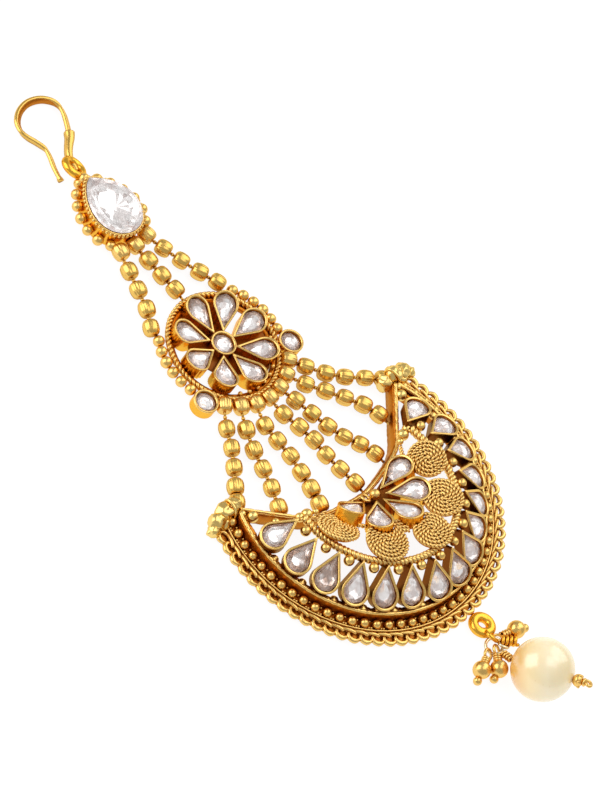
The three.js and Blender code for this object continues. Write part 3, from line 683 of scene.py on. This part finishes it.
def build_links(work):
    """The rim: wire links that each curl outwards and end in a tongue over the next."""
    widths = [row[3] for row in LINK_ROUTE]
    for i in range(LINK_COUNT):
        angle = -HALF_SWEEP + 2 * HALF_SWEEP * (i + 0.5) / LINK_COUNT
        along, outward = polar(1, angle + pi / 2, 0), polar(1, angle, 0)
        size = dice.uniform(0.96, 1.04)
        path = smooth_path([
            outward * (LINK_RADIUS + out * size) + along * (on * size) + UP * (LINK_HEIGHT + high)
            for on, out, high, _ in LINK_ROUTE
        ], 3)
        thick = np.interp(np.linspace(0, 1, len(path)), np.linspace(0, 1, len(widths)), widths)
        thick[[0, -1]] *= 0.6
        sweep(work, path, rounded_box(0.8, 0.8, 0.22), up=UP, widths=thick, heights=thick)


BEAD_COUNT = 44


def build_rim_beads(work):
    """The channel's beads, with three granules between each and the next."""
    for i in range(BEAD_COUNT):
        angle = -BAND_SWEEP + 2 * BAND_SWEEP * (i + 0.35) / BEAD_COUNT
        size = dice.uniform(0.76, 0.84)
        ball(work, polar(25.15 + dice.uniform(-0.06, 0.06), angle, 1.9), size, 16, 9)
        between = angle + BAND_SWEEP / BEAD_COUNT
        for radius, aside in ((25.75, 0.009), (25.75, -0.009), (24.6, 0)):
            ball(work, polar(radius, between + aside, 1.55), 0.23, 8, 5)


def build_row(work):
    """The row's cups, the bits of gold between them and the granules between their tips."""
    cup = partial(pear, *STONE_SIZE, count=40)
    for row in STONE_ROW:
        # The outer walls take slot 3, the darkest gold: painted shade.
        bezel(work, cup, STONE_DEPTH, WALL, POCKET, row_place(*row), outer_slot=3)
    for first, second in zip(STONE_ROW, STONE_ROW[1:]):
        angle = radians((first[0] + second[0]) / 2)
        ball(work, on_ring(GRANULES, angle), dice.uniform(0.86, 0.98), 16, 10)
        for aside in (0, radians(second[0] - first[0]) / 2):
            nub = polar(LEDGE_RADIUS, angle + aside + dice.uniform(-0.01, 0.01), 3)
            ball(work, nub, 0.72, 10, 7, squash=(1.2, 1.2, 0.8))
    ledge = even_path(arc_path(LEDGE_RADIUS, 2.65, HALF_SWEEP), 0.3)
    uneven = 1 + 0.35 * rough_line(len(ledge), 0.5, 3, 0)
    sweep(work, ledge, rounded_box(0.9, 0.8, 0.2), up=UP, widths=uneven, heights=uneven, slot=1)


def build_row_stones(work):
    for index, row in enumerate(STONE_ROW):
        pear_stone(work, *STONE_SIZE, STONE_INSET, row_place(*row), 2 if index in BROWNISH_STONES else 1)


def build_rope_arc(work):
    angles = np.linspace(radians(-97), radians(97), 90)
    rope(work, [on_ring(ROPE_ARC, angle) for angle in angles], 0.74, 1.55, 7, 9)


FLOWER_CENTRE = (0, -2.85)
FLOWER_PETAL = (4.9, 8)
FLOWER_TAPER = FLOWER_PETAL[1] - FLOWER_PETAL[0] / 2
# Petals: heading, rise and roll in degrees, then how far out and how high the tip lies.
FLOWER_PETALS = [
    (174.5, 28, 29, 2.2, 4.85), (216.5, 25, 18, 1.7, 6.4), (274, 31, -6, 1.35, 6.05),
    (323.5, 20, -3, 1.6, 6), (367, 17, -30, 1.6, 5.3),
]
PETAL_RIBS = (0, 22, 16, 8, 8)


def flower_place(heading, rise, roll, tip_radius, tip_height):
    turn = Matrix.Rotation(radians(heading), 3, "Z")
    outwards = turn @ Vector((cos(radians(rise)), 0, sin(radians(rise))))
    across = Matrix.Rotation(radians(roll), 3, outwards) @ (turn @ Vector((0, 1, 0)))
    tip = Vector((*FLOWER_CENTRE, tip_height)) + turn @ Vector((tip_radius, 0, 0))
    basis = Matrix((-outwards, -across, outwards.cross(across))).transposed().to_4x4()
    return Matrix.Translation(tip + outwards * FLOWER_TAPER) @ basis


FLOWER_PLACES = [flower_place(*petal) for petal in FLOWER_PETALS]
FLOWER_INVERSES = [np.array(place.inverted()) for place in FLOWER_PLACES]


def in_flower_cup(point):
    """Whether a point lies inside one of the half flower's cups."""
    full = FLOWER_PETAL[0] / 2 - 0.1
    for inverse in FLOWER_INVERSES:
        x, y, z = (inverse @ np.append(point, 1))[:3]
        reach = full if x <= 0 else full * (1 - x / FLOWER_TAPER)
        if hypot(min(x, 0), y) < reach and x < FLOWER_TAPER and z > -2.4:
            return True
    return False


def lay_coil(work, path, up=None):
    """Lays the discs' rope along the stretches of a path that keep clear of the flower's cups."""
    runs = [[]]
    for point in path:
        if in_flower_cup(point):
            runs.append([])
        else:
            runs[-1].append(point)
    for run in runs:
        if len(run) > 12:
            rope(work, run, 0.4, 1.4, 6, 9, up)


def disc_centre(angle, ring_radius):
    return on_ring((ring_radius, 0, *SPIRAL_HEIGHT), radians(angle))


def spiral_place(angle, ring_radius, lean, heading):
    lean, heading = radians(lean), radians(heading)
    return turn_to(round_spot(sin(lean), heading, cos(lean)), disc_centre(angle, ring_radius))


def outer_end_turn(place, radius):
    """The direction in a disc's own plane that leads nearest to the flower's middle."""
    turns = np.linspace(0, TURN, 37)[:-1]
    ends = [place @ Vector(round_spot(radius, turn, 0)) for turn in turns]
    reaches = [hypot(end.x - FLOWER_CENTRE[0], end.y - FLOWER_CENTRE[1]) for end in ends]
    return turns[int(np.argmin(reaches))]


def build_spirals(work):
    """Five discs of coarsely twisted rope, wound from their middle out, and the strands between."""
    around, sides = 40, 32
    for angle, ring_radius, radius, lean, heading in SPIRALS:
        place = spiral_place(angle, ring_radius, lean, heading)
        steps = int((radius - 0.3) / COIL_GAP * around)
        start = outer_end_turn(place, radius) - TURN * (steps - 1) / around
        path = []
        for i in range(steps):
            turn = TURN * i / around
            reach = 0.1 + COIL_GAP * turn / TURN
            path.append(round_spot(reach, turn + start, 0.1 - 0.3 * (reach / radius) ** 2))
        lay_coil(work, moved(path, place), np.array(place.to_3x3() @ Vector((0, 0, 1))))
        rim = radius - 0.75
        back = [(0.02, -0.95), (rim, -0.95), (rim + 0.2, -0.65), (rim, -0.4), (0.02, -0.1)]
        points = moved([(x, y, z) for r, z in back for x, y in circle(r, sides)], place)
        for point in points:
            while in_flower_cup(point):
                point[2] -= 0.3
        work.add(points, tube_faces(len(back), sides), slot=1)
    add_tails(work)


# Where the outermost strands run on to, past the first and the last disc: a spot and a radius.
TAIL_ENDS = [(-14.6, 0.6, 5.4, 2.2), (13.6, 1.4, 5.6, 2.2)]


def add_tails(work):
    """Straight strands that fill the hollows between neighbouring discs on the flower's side."""
    discs = [(*disc_centre(*row[:2]), row[2]) for row in SPIRALS]
    spots = [TAIL_ENDS[0]] + discs + [TAIL_ENDS[1]]
    for first, second in zip(spots, spots[1:]):
        start, end = np.array(first[:3]), np.array(second[:3])
        along = unit(end - start)
        inward = unit(np.cross(UP, along))
        for strand in range(1 if second is TAIL_ENDS[1] else 4):
            radii = np.array([first[3], second[3]])
            offsets = radii - 0.5 - strand * COIL_GAP
            reaches = np.sqrt(np.maximum(radii ** 2 - offsets ** 2, 0))
            if min(offsets) < 0.3 or np.linalg.norm(end - start) < sum(reaches) + 0.4:
                continue
            first_end = start + inward * offsets[0] + along * reaches[0]
            second_end = end + inward * offsets[1] - along * reaches[1]
            path = even_path(np.array([first_end, second_end]), 0.1)
            lay_coil(work, path - UP * (0.2 + 0.34 * max(offsets)))


def build_half_flower(work):
    for place, ribs in zip(FLOWER_PLACES, PETAL_RIBS):
        bezel(work, partial(pear, *FLOWER_PETAL, count=176), 2.5, WALL, POCKET, place, flutes=ribs)
    ball(work, (*FLOWER_CENTRE, 5.3), 0.98, 24, 14)
    # A wedge under the petals in slot 3, the darkest gold: painted shade between them.
    slab(work, FLOWER_CENTRE, [(0.05, 3.3), (4.6, 5.3), (4.6, 5.6), (0.05, 3.9)], np.linspace(160, 378, 24))
    ring(work, (-1.75, -2.3, 5), 0.8, (0.4, 0.2, 0.9), circle(0.3, 7))


def build_flower_stones(work):
    for place in FLOWER_PLACES:
        pear_stone(work, *FLOWER_PETAL, STONE_INSET, place)


EDGE_ROUTE = [(0, -1.5), (5, -0.8), (11.6, 1), (15.8, 4.5), (21.4, 9.8)]
# The edge's two courses: width, bottom, top, how deep their notches are, and slot.
EDGE_COURSES = [(1, 0.15, 3.35, 0, 1), (0.62, 3, 3.85, 0.28, 0)]


def build_edge(work):
    """The hammered strip along the inner edge, in two stretches that meet at the flower."""
    for side in (1, -1):
        path = even_path(smooth_path([(x * side, y, 0) for x, y in EDGE_ROUTE], 12), 0.35)
        for width, bottom, top, notch, slot in EDGE_COURSES:
            rough = 1 + 0.16 * rough_line(len(path), 0.9, side * 7, top)
            rough -= notch * (np.arange(len(path)) % 5 == 0)
            section = [(x, y + (bottom + top) / 2) for x, y in rounded_box(width, top - bottom, 0.18)]
            sweep(work, path, section, up=UP, widths=rough, slot=slot)


def lump(work, centre, radii, seed):
    """A rough nugget of solder."""
    segments, rings, bumpiness = 26, 16, 0.22
    points = []
    for i in range(rings + 1):
        tall = pi * i / rings
        for x, y in circle(sin(tall), segments):
            way = Vector((x, y, cos(tall)))
            grow = 1 + bumpiness * noise.noise(way * 1.7 + Vector((seed, 0, 0)))
            grow += 0.30 * bumpiness * noise.noise(way * 3.5 + Vector((0, seed, 0)))
            points.append([centre[k] + way[k] * radii[k] * grow for k in range(3)])
    work.add(points, [face[::-1] for face in tube_faces(rings + 1, segments, caps=False)])


# The right horn's nuggets: centre and half sizes.
HORN_LUMPS = [
    ((20.9, 11.2, 2), (1.5, 1.5, 1.7)), ((23.2, 11.3, 2.3), (2.1, 1.7, 1.7)),
    ((25.5, 10.9, 1.9), (1.8, 1.6, 1.5)), ((27, 10.1, 1.4), (1.3, 1.1, 1.1)),
    ((24.6, 9.9, 1.6), (1.3, 1, 1.1)),
]
# The granules in the crescent's corners: where each lies, and its radius.
CORNER_GRANULES = [
    (13.4, 1.9, 5.2, 1.05), (14.9, 2.3, 5.2, 0.85), (18.1, 4.4, 3.6, 0.8), (20.6, 7.6, 3.4, 1.05),
    (21.6, 9.1, 3.1, 0.7), (11.8, 1.3, 5.4, 0.6),
]
HORN_WRAP = [(22, 12.6, 2.2), (22.3, 12.2, 4), (22.6, 10.2, 3.9), (22.7, 9.4, 2.2)]


def build_horns(work):
    for side in (1, -1):
        for number, ((x, y, z), radii) in enumerate(HORN_LUMPS):
            lump(work, (x * side, y, z), radii, number * 3.1 + side)
        for x, y, z, radius in CORNER_GRANULES:
            ball(work, (x * side, y, z), radius)
        tube(work, smooth_path([(x * side, y, z) for x, y, z in HORN_WRAP], 6), 0.28, 6)


# ---- medallion

PETAL_SIZE = (4.7, 7.5)
PETAL_TIP_RADIUS, PETAL_TIP_HEIGHT, PETAL_END_HEIGHT = 2.2, 1.9, 3.8
# Eighths of the plate under the petals that are cut away, and how far out the plate still reaches.
WINDOWS = {0: 2.4, 3: 6, 4: 5.4, 5: 5.6}
# The round cups: centre, radius and height. The last two are at the sides.
ROUND_CUPS = [((0, 0), 2.35, 2.15), ((11.2, -6.5), 2.3, 2.3), ((-11.2, -6.5), 2.3, 2.3)]
FOOT_RADIUS = 12.2
FOOT_TURNS = [radians(270 + (i - 3) * 14.6) for i in range(7)]


def medallion_places():
    """Where the eight petals lie: the tips inwards, the walls upright and the faces sloping."""
    width, length = PETAL_SIZE
    slope = (PETAL_TIP_HEIGHT - PETAL_END_HEIGHT) / length
    lean = Matrix(((1, 0, 0, 0), (0, 1, 0, 0), (slope, 0, 1, 0), (0, 0, 0, 1)))
    for turn in (radians(45 * i) for i in range(8)):
        spot = round_spot(PETAL_TIP_RADIUS + length - width / 2, turn, PETAL_END_HEIGHT + slope * width / 2)
        yield Matrix.Translation(spot) @ Matrix.Rotation(turn + pi, 4, "Z") @ lean


def build_medallion(work):
    """The plate, its rope and the eight petals' cups."""
    plate = [(9, 0.05), (10, 0.05), (10.3, 0.4), (10.1, 0.85), (9.2, 0.85), (9, 0.5)]
    points = [(x + 0.1, y - 0.35, z) for r, z in plate for x, y in circle(r, 72)]
    work.add(points, tube_faces(len(plate), 72, closed=True), slot=1)
    for number in range(8):
        reach = WINDOWS.get(number, 9.2)
        section = [(2, 0.2), (reach, 0.2), (reach, 0.6), (2, 0.6)]
        # The plate's eighths under the petals take slot 3, the darkest gold: painted shade.
        slab(work, (0, 0), section, 45 * number + np.linspace(0, 45, 8))
    hoop = [(x + 0.1, y - 0.4, 1.2) for x, y in circle(10.3, 200)]
    rope(work, hoop + hoop[:1], 0.56, 1.7, 6, 8)
    cup = partial(pear, *PETAL_SIZE, count=80)
    for number, place in enumerate(medallion_places()):
        bezel(work, cup, place.translation.z - 0.1, 0.4, POCKET, place, flutes=(0, 20, 40)[number % 3])
    work.points = [(x, y, max(z, 0.05)) for x, y, z in work.points]


def build_medallion_bits(work):
    """The three round cups, and the beads and granules round the medallion."""
    for centre, radius, height in ROUND_CUPS:
        place = Matrix.Translation((*centre, height))
        bezel(work, partial(disc, radius), height - 0.05, WALL, 1.1, place, rim=0.14)
    for i in range(6):
        x, y, z = round_spot(11.75, radians(144.5 + 10.2 * i), 1.15)
        for side in (1, -1):
            ball(work, (x * side, y, z), dice.uniform(0.98, 1.1))
    for turn in FOOT_TURNS:
        fluted_bead(work, round_spot(FOOT_RADIUS, turn, 1.5), round_spot(1, turn, 0), 0.98)
    for i in range(9):
        ball(work, round_spot(9.6, radians(245 + i * 11.5), 1.25), 0.45, 8, 6)


def build_medallion_stones(work):
    for place in medallion_places():
        pear_stone(work, *PETAL_SIZE, 0.44, place)
    round_stone(work, 1.9, IN_PLACE, 1.9)
    for centre, _, _ in ROUND_CUPS[1:]:
        round_stone(work, 1.84, Matrix.Translation((*centre, 0)), 2.05)


# ---- crest

CREST_PLACE = Matrix.Translation((0.2, 58.6, 0))
# Width, length and fullness.
CREST_SIZE = (8.9, 11.6, 0.5)
CREST_FOOT = [(-3.35, 57.1), (0, 56.7), (3.35, 57.1)]


def build_crest(work):
    """The cup with its millegrain edge, the beads down its sides and the three fluted ones below."""
    lifted = CREST_PLACE @ Matrix.Translation((0, 0, 4.1))
    bezel(work, lambda inset: full_drop(*CREST_SIZE, 0.55 - inset, 72), 4, 0.45, 1.6, lifted, rim=0.2)
    for x, y in resampled(full_drop(*CREST_SIZE, 0.62, 200), 46, 0.5):
        ball(work, (x, y, 3.7), 0.33, 8, 6, CREST_PLACE, squash=(1, 1, 1.3))
    skirt = [(0.3, 0.1), (0.35, 0.9), (0.3, 1.3)]
    points = [(x, y, z) for offset, z in skirt for x, y in full_drop(*CREST_SIZE, offset, 72)]
    work.add(points, tube_faces(len(skirt), 72), CREST_PLACE, slot=1)
    flank = full_drop(*CREST_SIZE, 1.2, 240)[6:108]
    spots = even_path(np.array([(x, y, 2) for x, y in flank]), 0.01)
    for pick in np.linspace(0, len(spots) - 1, 8)[:-1]:
        x, y, _ = spots[int(pick)]
        for side, height in ((1, 1.4), (-1, 2.5)):
            ball(work, (x * side, y, height), dice.uniform(0.96, 1.04), 16, 10, CREST_PLACE)
    for x, y in CREST_FOOT:
        fluted_bead(work, (x, y, 1.55), (x * 0.05, -1, 0), 1)


def build_crest_stone(work):
    outline = full_drop(*CREST_SIZE, 0.3, 200)
    gem(work, outline, (0, 4.95), (4.25, 6.5, 2.9), CREST_PLACE, count=22, crown=0.82, flat=0.5, every=3)


# ---- hook

HOOK_ROUTE = [
    (-2.3, 73.6), (-1.6, 76), (-0.65, 78.2), (-0.3, 79.8), (-0.85, 81.6), (-1.55, 83.3), (-1.75, 84.8),
    (-1, 86.5), (0.9, 87.9), (3.4, 88.45), (5.9, 87.9), (7.6, 86.6), (8.25, 85.1), (7.9, 83.4),
    (6.95, 81.6), (5.9, 79.9),
]
HOOK_LEG = [(6.1, 80.1), (5.3, 79.15), (3.85, 77.9), (2.75, 76.75), (2, 75.5), (1.7, 74.4), (1.4, 73.5)]


def build_hook(work):
    """The leaning strip with a thin brown sheet on its inner face as painted shade, and the folded leg that
    holds the ring.
    """
    path = smooth_path([(x, y, 0.88) for x, y in HOOK_ROUTE], 8)
    lean = unit(vec(-0.5, 0.5, 0.8))
    widths = np.ones(len(path))
    widths[:3] = 1.5, 1.4, 1.15
    sweep(work, path, rounded_box(0.72, 1.5, 0.16), up=lean, widths=widths)
    # A thin sheet in the brown gold along the strip's inner face: painted shade.
    inside = [(x + 0.38, y - 0.05) for x, y in rounded_box(0.08, 1.2, 0.02)]
    sweep(work, path[44:100], inside, up=lean, slot=1)
    leg = smooth_path([(x, y, 0.85) for x, y in HOOK_LEG], 6)
    widths = np.interp(np.linspace(0, 1, len(leg)), [0, 0.06, 0.35, 0.7, 1], [1.25, 1.3, 1, 0.85, 0.75])
    sweep(work, leg, rounded_box(1.35, 1.6, 0.35), up=UP, widths=widths)


def build_hook_ring(work):
    hoop = [(1.85 * x, 1.85 * y, 0) for x, y in circle(1, 40)]
    place = Matrix.Translation((0.9, 74, 1.95)) @ Matrix.Rotation(radians(27), 4, "Y")
    sweep(work, hoop, circle(0.72, 12), closed=True, up=UP, place=place)


# ---- chains

# Where each bead of a chain lies, from the top down, and where its wire ends.
UPPER_CHAINS = [
    [(-4.7, 53.5), (-5.95, 49.9), (-7.3, 46.3), (-9.25, 43.2), (-9.6, 42)],
    [(0, 53.2), (0, 49.7), (0.1, 46.35), (0.1, 44)],
    [(4.15, 53.5), (5.3, 50), (6.6, 46.5), (8, 43.25), (8.4, 42.2)],
]
LOWER_CHAINS = [
    [(-11.4, 21.5), (-13.3, 18.3), (-15.6, 15.4), (-18.1, 12.6), (-20.1, 10.3), (-21.6, 8.6)],
    [(-8.4, 19.4), (-10.1, 15.8), (-11.2, 12.3), (-12.5, 8.8), (-14.15, 5.4), (-14.8, 3.6)],
    [(-4.8, 18.1), (-5, 14.7), (-5, 11.3), (-5.7, 7.9), (-6.4, 4.7), (-7.2, 1.7), (-7.6, -0.7)],
    [(-0.2, 17.8), (0.5, 14.4), (1, 11.1), (0.8, 7.8), (1.05, 4.4), (1.5, 1), (1.7, -1.4)],
    [(3.7, 18.5), (4.5, 15), (5.2, 11.6), (6.3, 8.5), (7.9, 5.8), (9, 2.95), (9.4, 0.9)],
    [(7.7, 19.8), (9.9, 16.8), (12.1, 13.9), (14.2, 11), (15.3, 8), (15.9, 5.2)],
    [(10.2, 22.3), (12.6, 19.3), (15.2, 16.8), (18.4, 14.6), (21.2, 12.6), (22.4, 11.6)],
]
BEAD_HEIGHT, WIRE_END_HEIGHT, WIRE_RADIUS = 1.5, 1.2, 0.24


def build_chain(work, route):
    """Fluted beads, each a little askew, with a wire and a small ball between each and the next."""
    spots = [vec(x, y, BEAD_HEIGHT) for x, y in route]
    spots[0][2] = spots[-1][2] = WIRE_END_HEIGHT
    for before, spot, after in zip(spots, spots[1:], spots[2:]):
        askew = np.array([dice.uniform(-reach, reach) for reach in (0.07, 0.07, 0.05)])
        way = unit(unit(after - before) + askew)
        lifted = spot + UP * dice.uniform(0, 0.12)
        fluted_bead(work, lifted, way, dice.uniform(0.97, 1.03))
    for first, second in zip(spots, spots[1:]):
        middle = (first + second) / 2
        way = unit(second - first)
        tube(work, [first, middle - way * 0.2], WIRE_RADIUS, 7)
        tube(work, [middle + way * 0.2, second], WIRE_RADIUS, 7)
        ball(work, middle, 0.36, 10, 7)


# ---- drop

PIN_WAY = unit(vec(0.27, -0.84, 0.47))
PEARL_HOLE = 0.5
# The small drops: where the ball, its end bead and the top of its wire lie.
CLUSTER = [
    [(-4.75, -37.25), (-6.5, -38.2), (-1.2, -35.9)],
    [(-1.85, -38.95), (-3.6, -39.7), (0.5, -36.6)],
    [(6.5, -35.65), (8.55, -36.3), (2.9, -34.7)],
]


def coil(work, start, end, reach, turns, thick):
    """Wire wound round a straight line."""
    way = unit(end - start)
    side = unit(np.cross(way, UP))
    lift = np.cross(side, way)
    steps = 14
    path = []
    for i in range(turns * steps + 1):
        turn = TURN * i / steps
        here = start + (end - start) * i / (turns * steps)
        path.append(here + (side * cos(turn) + lift * sin(turn)) * reach)
    tube(work, path, thick, 6)


def build_drop_ring(work):
    section = [(0.92 * x, 0.84 * y) for x, y in circle(1, 16)]
    ring(work, (2.1, -31.35, 1), 1.6, (0.05, 0.1, 1), section, up=UP)


def build_link_ring(work):
    ring(work, (1.7, -33.8, 1.4), 1.4, (0.75, 0.1, 0.7), circle(0.36, 8), stretch=0.9)
    ring(work, (1.2, -35.4, 0.8), 1.5, (-0.15, 0.1, 1), circle(0.3, 8), up=UP, slot=1)
    coil(work, vec(2.6, -35.5, 1.4), vec(4.9, -37.3, 1.8), 0.72, 4, 0.32)
    ring(work, (2.3, -36.3, 1.5), 0.85, (0.5, 0.3, 0.8), circle(0.3, 7), slot=1)


def build_cluster(work, spots):
    """A small ball with its end bead, hanging by a coil and a wire eye."""
    centre, end, top = (vec(*spot, height) for spot, height in zip(spots, (1.62, 0.95, 1)))
    way = unit(top - centre)
    ball(work, centre, 1.6, 28, 18)
    ball(work, end, 0.78, 16, 10)
    tube(work, [end, centre], 0.3, 7)
    start = centre + way * 1.5
    coil(work, start, start + way * 1.5, 0.56, 3, 0.27)
    facing = unit(unit(np.cross(way, UP)) * 0.6 + UP * 0.8)
    ring(work, start + way * 2.4, 0.95, facing, circle(0.26, 7), count=24)


def build_pearl(work):
    """The pearl, with a hole through it for its pin."""
    rings, segments = 40, 56
    first = asin(PEARL_HOLE / PEARL_RADIUS)
    levels = [first + (pi - 2 * first) * i / rings for i in range(rings + 1)]
    rows = [(PEARL_RADIUS * sin(tall), PEARL_RADIUS * cos(tall)) for tall in levels]
    rows += [(PEARL_HOLE, -PEARL_RADIUS + 0.4), (PEARL_HOLE, PEARL_RADIUS - 0.4)]
    points = [(x, y, z) for radius, z in rows for x, y in circle(radius, segments)]
    faces = tube_faces(len(rows), segments, closed=True)
    skin = rings * segments
    work.add(points, [face[::-1] for face in faces[:skin]] + faces[skin:], turn_to(PIN_WAY, PEARL_CENTRE))


def build_pin(work):
    """The wire through the pearl, its coil above, and its end bead and end loop below."""
    def at(distance):
        return PEARL_CENTRE + PIN_WAY * distance

    tube(work, [at(-PEARL_RADIUS - 0.4), at(PEARL_RADIUS + 1.2)], 0.3, 8)
    coil(work, at(-PEARL_RADIUS - 0.1), vec(0.9, -37.2, 1.7), 0.5, 4, 0.26)
    place = turn_to(PIN_WAY, at(PEARL_RADIUS + 0.85))
    ball(work, (0, 0, 0), 1.12, 20, 12, place, squash=(1, 1, 0.85))
    ball(work, (0, 0, 1.15), 0.62, 14, 9, place, squash=(1.25, 1.25, 0.6))
    ring(work, at(PEARL_RADIUS + 2.75), 0.66, (0.3, 0.2, 0.9), circle(0.28, 8), stretch=0.75)
    for i in range(5):
        ball(work, round_spot(1, TURN * i / 5, 0.35), 0.3, 8, 6, place)


# ---- the pieces


def numbered(name, count):
    return [f"{name}_{i + 1}" for i in range(count)]


# Slots 1 and 3 are darker copies of the gold: painted shade on pockets, plates and walls.
SHADED_GOLD = ["gold", "recess_shadow_gold", "amber_gold", "deepest_shadow_gold"]
CUT_STONE = ["cut_glass", "foil", "gold_reflection_foil", "core_foil"]
CREST_CUT = ["cut_glass", "bright_foil", "grey_foil", "bright_foil"]
ROUND_STONES = ["medallion_centre_stone", "side_stone_right", "side_stone_left"]

# Name, builder, looks and the solids that the piece replaces.
CRESCENT_PIECES = [
    ("crescent_band", build_band, ["brown_shadow_gold"], ["crescent"]),
    ("crescent_ridge", build_ridge, ["gold"]),
    ("crescent_links", build_links, ["gold"]),
    ("crescent_rim_beads", build_rim_beads, ["gold"]),
    ("crescent_settings", build_row, SHADED_GOLD),
    ("crescent_rope", build_rope_arc, ["rope_gold"]),
    ("crescent_spirals", build_spirals, ["rope_gold", "recess_shadow_gold"]),
    ("crescent_half_flower", build_half_flower, SHADED_GOLD),
    ("crescent_edge", build_edge, ["gold", "brown_shadow_gold"]),
    ("crescent_horns", build_horns, ["nugget_gold"]),
    ("crescent_row_stones", build_row_stones, CUT_STONE, numbered("crescent_stone", 15)),
    ("half_flower_stones", build_flower_stones, CUT_STONE, numbered("half_flower_stone", 5)),
]
MEDALLION_PIECES = [
    ("medallion_flower", build_medallion, SHADED_GOLD, ["medallion"]),
    ("medallion_beads", build_medallion_bits, SHADED_GOLD),
    ("medallion_stones", build_medallion_stones, CUT_STONE, numbered("medallion_stone", 8) + ROUND_STONES),
]
for pieces, place in ((CRESCENT_PIECES, CRESCENT_PLACE), (MEDALLION_PIECES, MEDALLION_PLACE)):
    for piece in pieces:
        make_piece(*piece, place=place)
make_piece("crest_bezel", build_crest, SHADED_GOLD, ["crest_setting"])
make_piece("crest_crystal", build_crest_stone, CREST_CUT, ["crest_stone"])
make_piece("hook_strip", build_hook, ["hook_gold", "brown_shadow_gold"], ["hook"])
make_piece("hook_loop_ring", build_hook_ring, ["amber_gold"], ["hook_ring"])

foot_beads = [(FOOT_RADIUS * cos(a), MEDALLION_CENTRE[1] + FOOT_RADIUS * sin(a)) for a in FOOT_TURNS]
for level, starts, routes in (("upper", CREST_FOOT, UPPER_CHAINS), ("lower", foot_beads, LOWER_CHAINS)):
    for number, (start, route) in enumerate(zip(starts, routes), 1):
        build = partial(build_chain, route=[start, *route])
        make_piece(f"{level}_bead_chain_{number}", build, ["bead_gold"], [f"{level}_chain_{number}"])

make_piece("drop_bail", build_drop_ring, ["amber_gold"], ["drop_ring"])
make_piece("drop_links", build_link_ring, ["amber_gold", "pale_wire"], ["link_ring"])
for number, spots in enumerate(CLUSTER, 1):
    build = partial(build_cluster, spots=spots)
    make_piece(f"drop_ball_{number}", build, ["gold"], [f"cluster_ball_{number}"])
make_piece("pearl_bead", build_pearl, ["pearl_skin"], ["pearl"])
make_piece("pearl_headpin", build_pin, ["gold"], ["pearl_pin"])

# ---- floor, light and camera

VIEW_TILT = radians(38.7)
VIEW_TURN = radians(11.67)
VIEW_ROLL = radians(50.722)
VIEW_DISTANCE = 725.0 * MM
VIEW_TARGET = (5.7, 18.39, 0)
LENS = 190.2
FLOOR_HALF = 3.0
target = Vector(np.array(VIEW_TARGET) * MM + ORIGIN)

data = bpy.data.cameras.new("camera")
data.lens = LENS
data.sensor_width = 36
data.clip_start = 0.01
data.clip_end = 20
scene.camera = add_object("camera", data)
tilted = Matrix.Rotation(VIEW_TURN, 4, "Z") @ Matrix.Rotation(-VIEW_TILT, 4, "Y")
turned = Matrix.Translation(target) @ tilted @ Matrix.Rotation(-VIEW_ROLL, 4, "Z")
scene.camera.matrix_world = turned @ Matrix.Translation((0, 0, VIEW_DISTANCE))

new_material("floor_paper", Base_Color=grey(0.18), Emission_Color=WHITE, Emission_Strength=0.9,
             Roughness=0.9, Specular_IOR_Level=0.1)
mesh = bpy.data.meshes.new("floor")
corners = [(x * FLOOR_HALF, y * FLOOR_HALF, 0) for x, y in ((-1, -1), (1, -1), (1, 1), (-1, 1))]
mesh.from_pydata(corners, [], [(0, 1, 2, 3)])
mesh.materials.append(LOOKS["floor_paper"])
floor = add_object("floor", mesh)
floor.location.z = -0.1 * MM


def soft_light(name, toward, distance, size, power):
    data = bpy.data.lights.new(name, "AREA")
    data.size = size
    data.energy = power
    made = add_object(name, data)
    way = Vector(toward).normalized()
    made.location = target + way * distance
    made.rotation_euler = way.to_track_quat("Z", "Y").to_euler()


soft_light("key_light", (-0.55, 0.76, 0.45), 0.9, 0.8, 4.4)
soft_light("right_light", (0.72, -0.03, 0.7), 0.9, 0.8, 2.9)
soft_light("top_light", (0.1, -0.1, 1), 1.1, 0.7, 2)

scene.world = bpy.data.worlds.new("studio")
scene.world.use_nodes = True
sky = scene.world.node_tree.nodes["Background"]
sky.inputs["Color"].default_value = WHITE
sky.inputs["Strength"].default_value = 0.48
scene.view_settings.view_transform = "Standard"
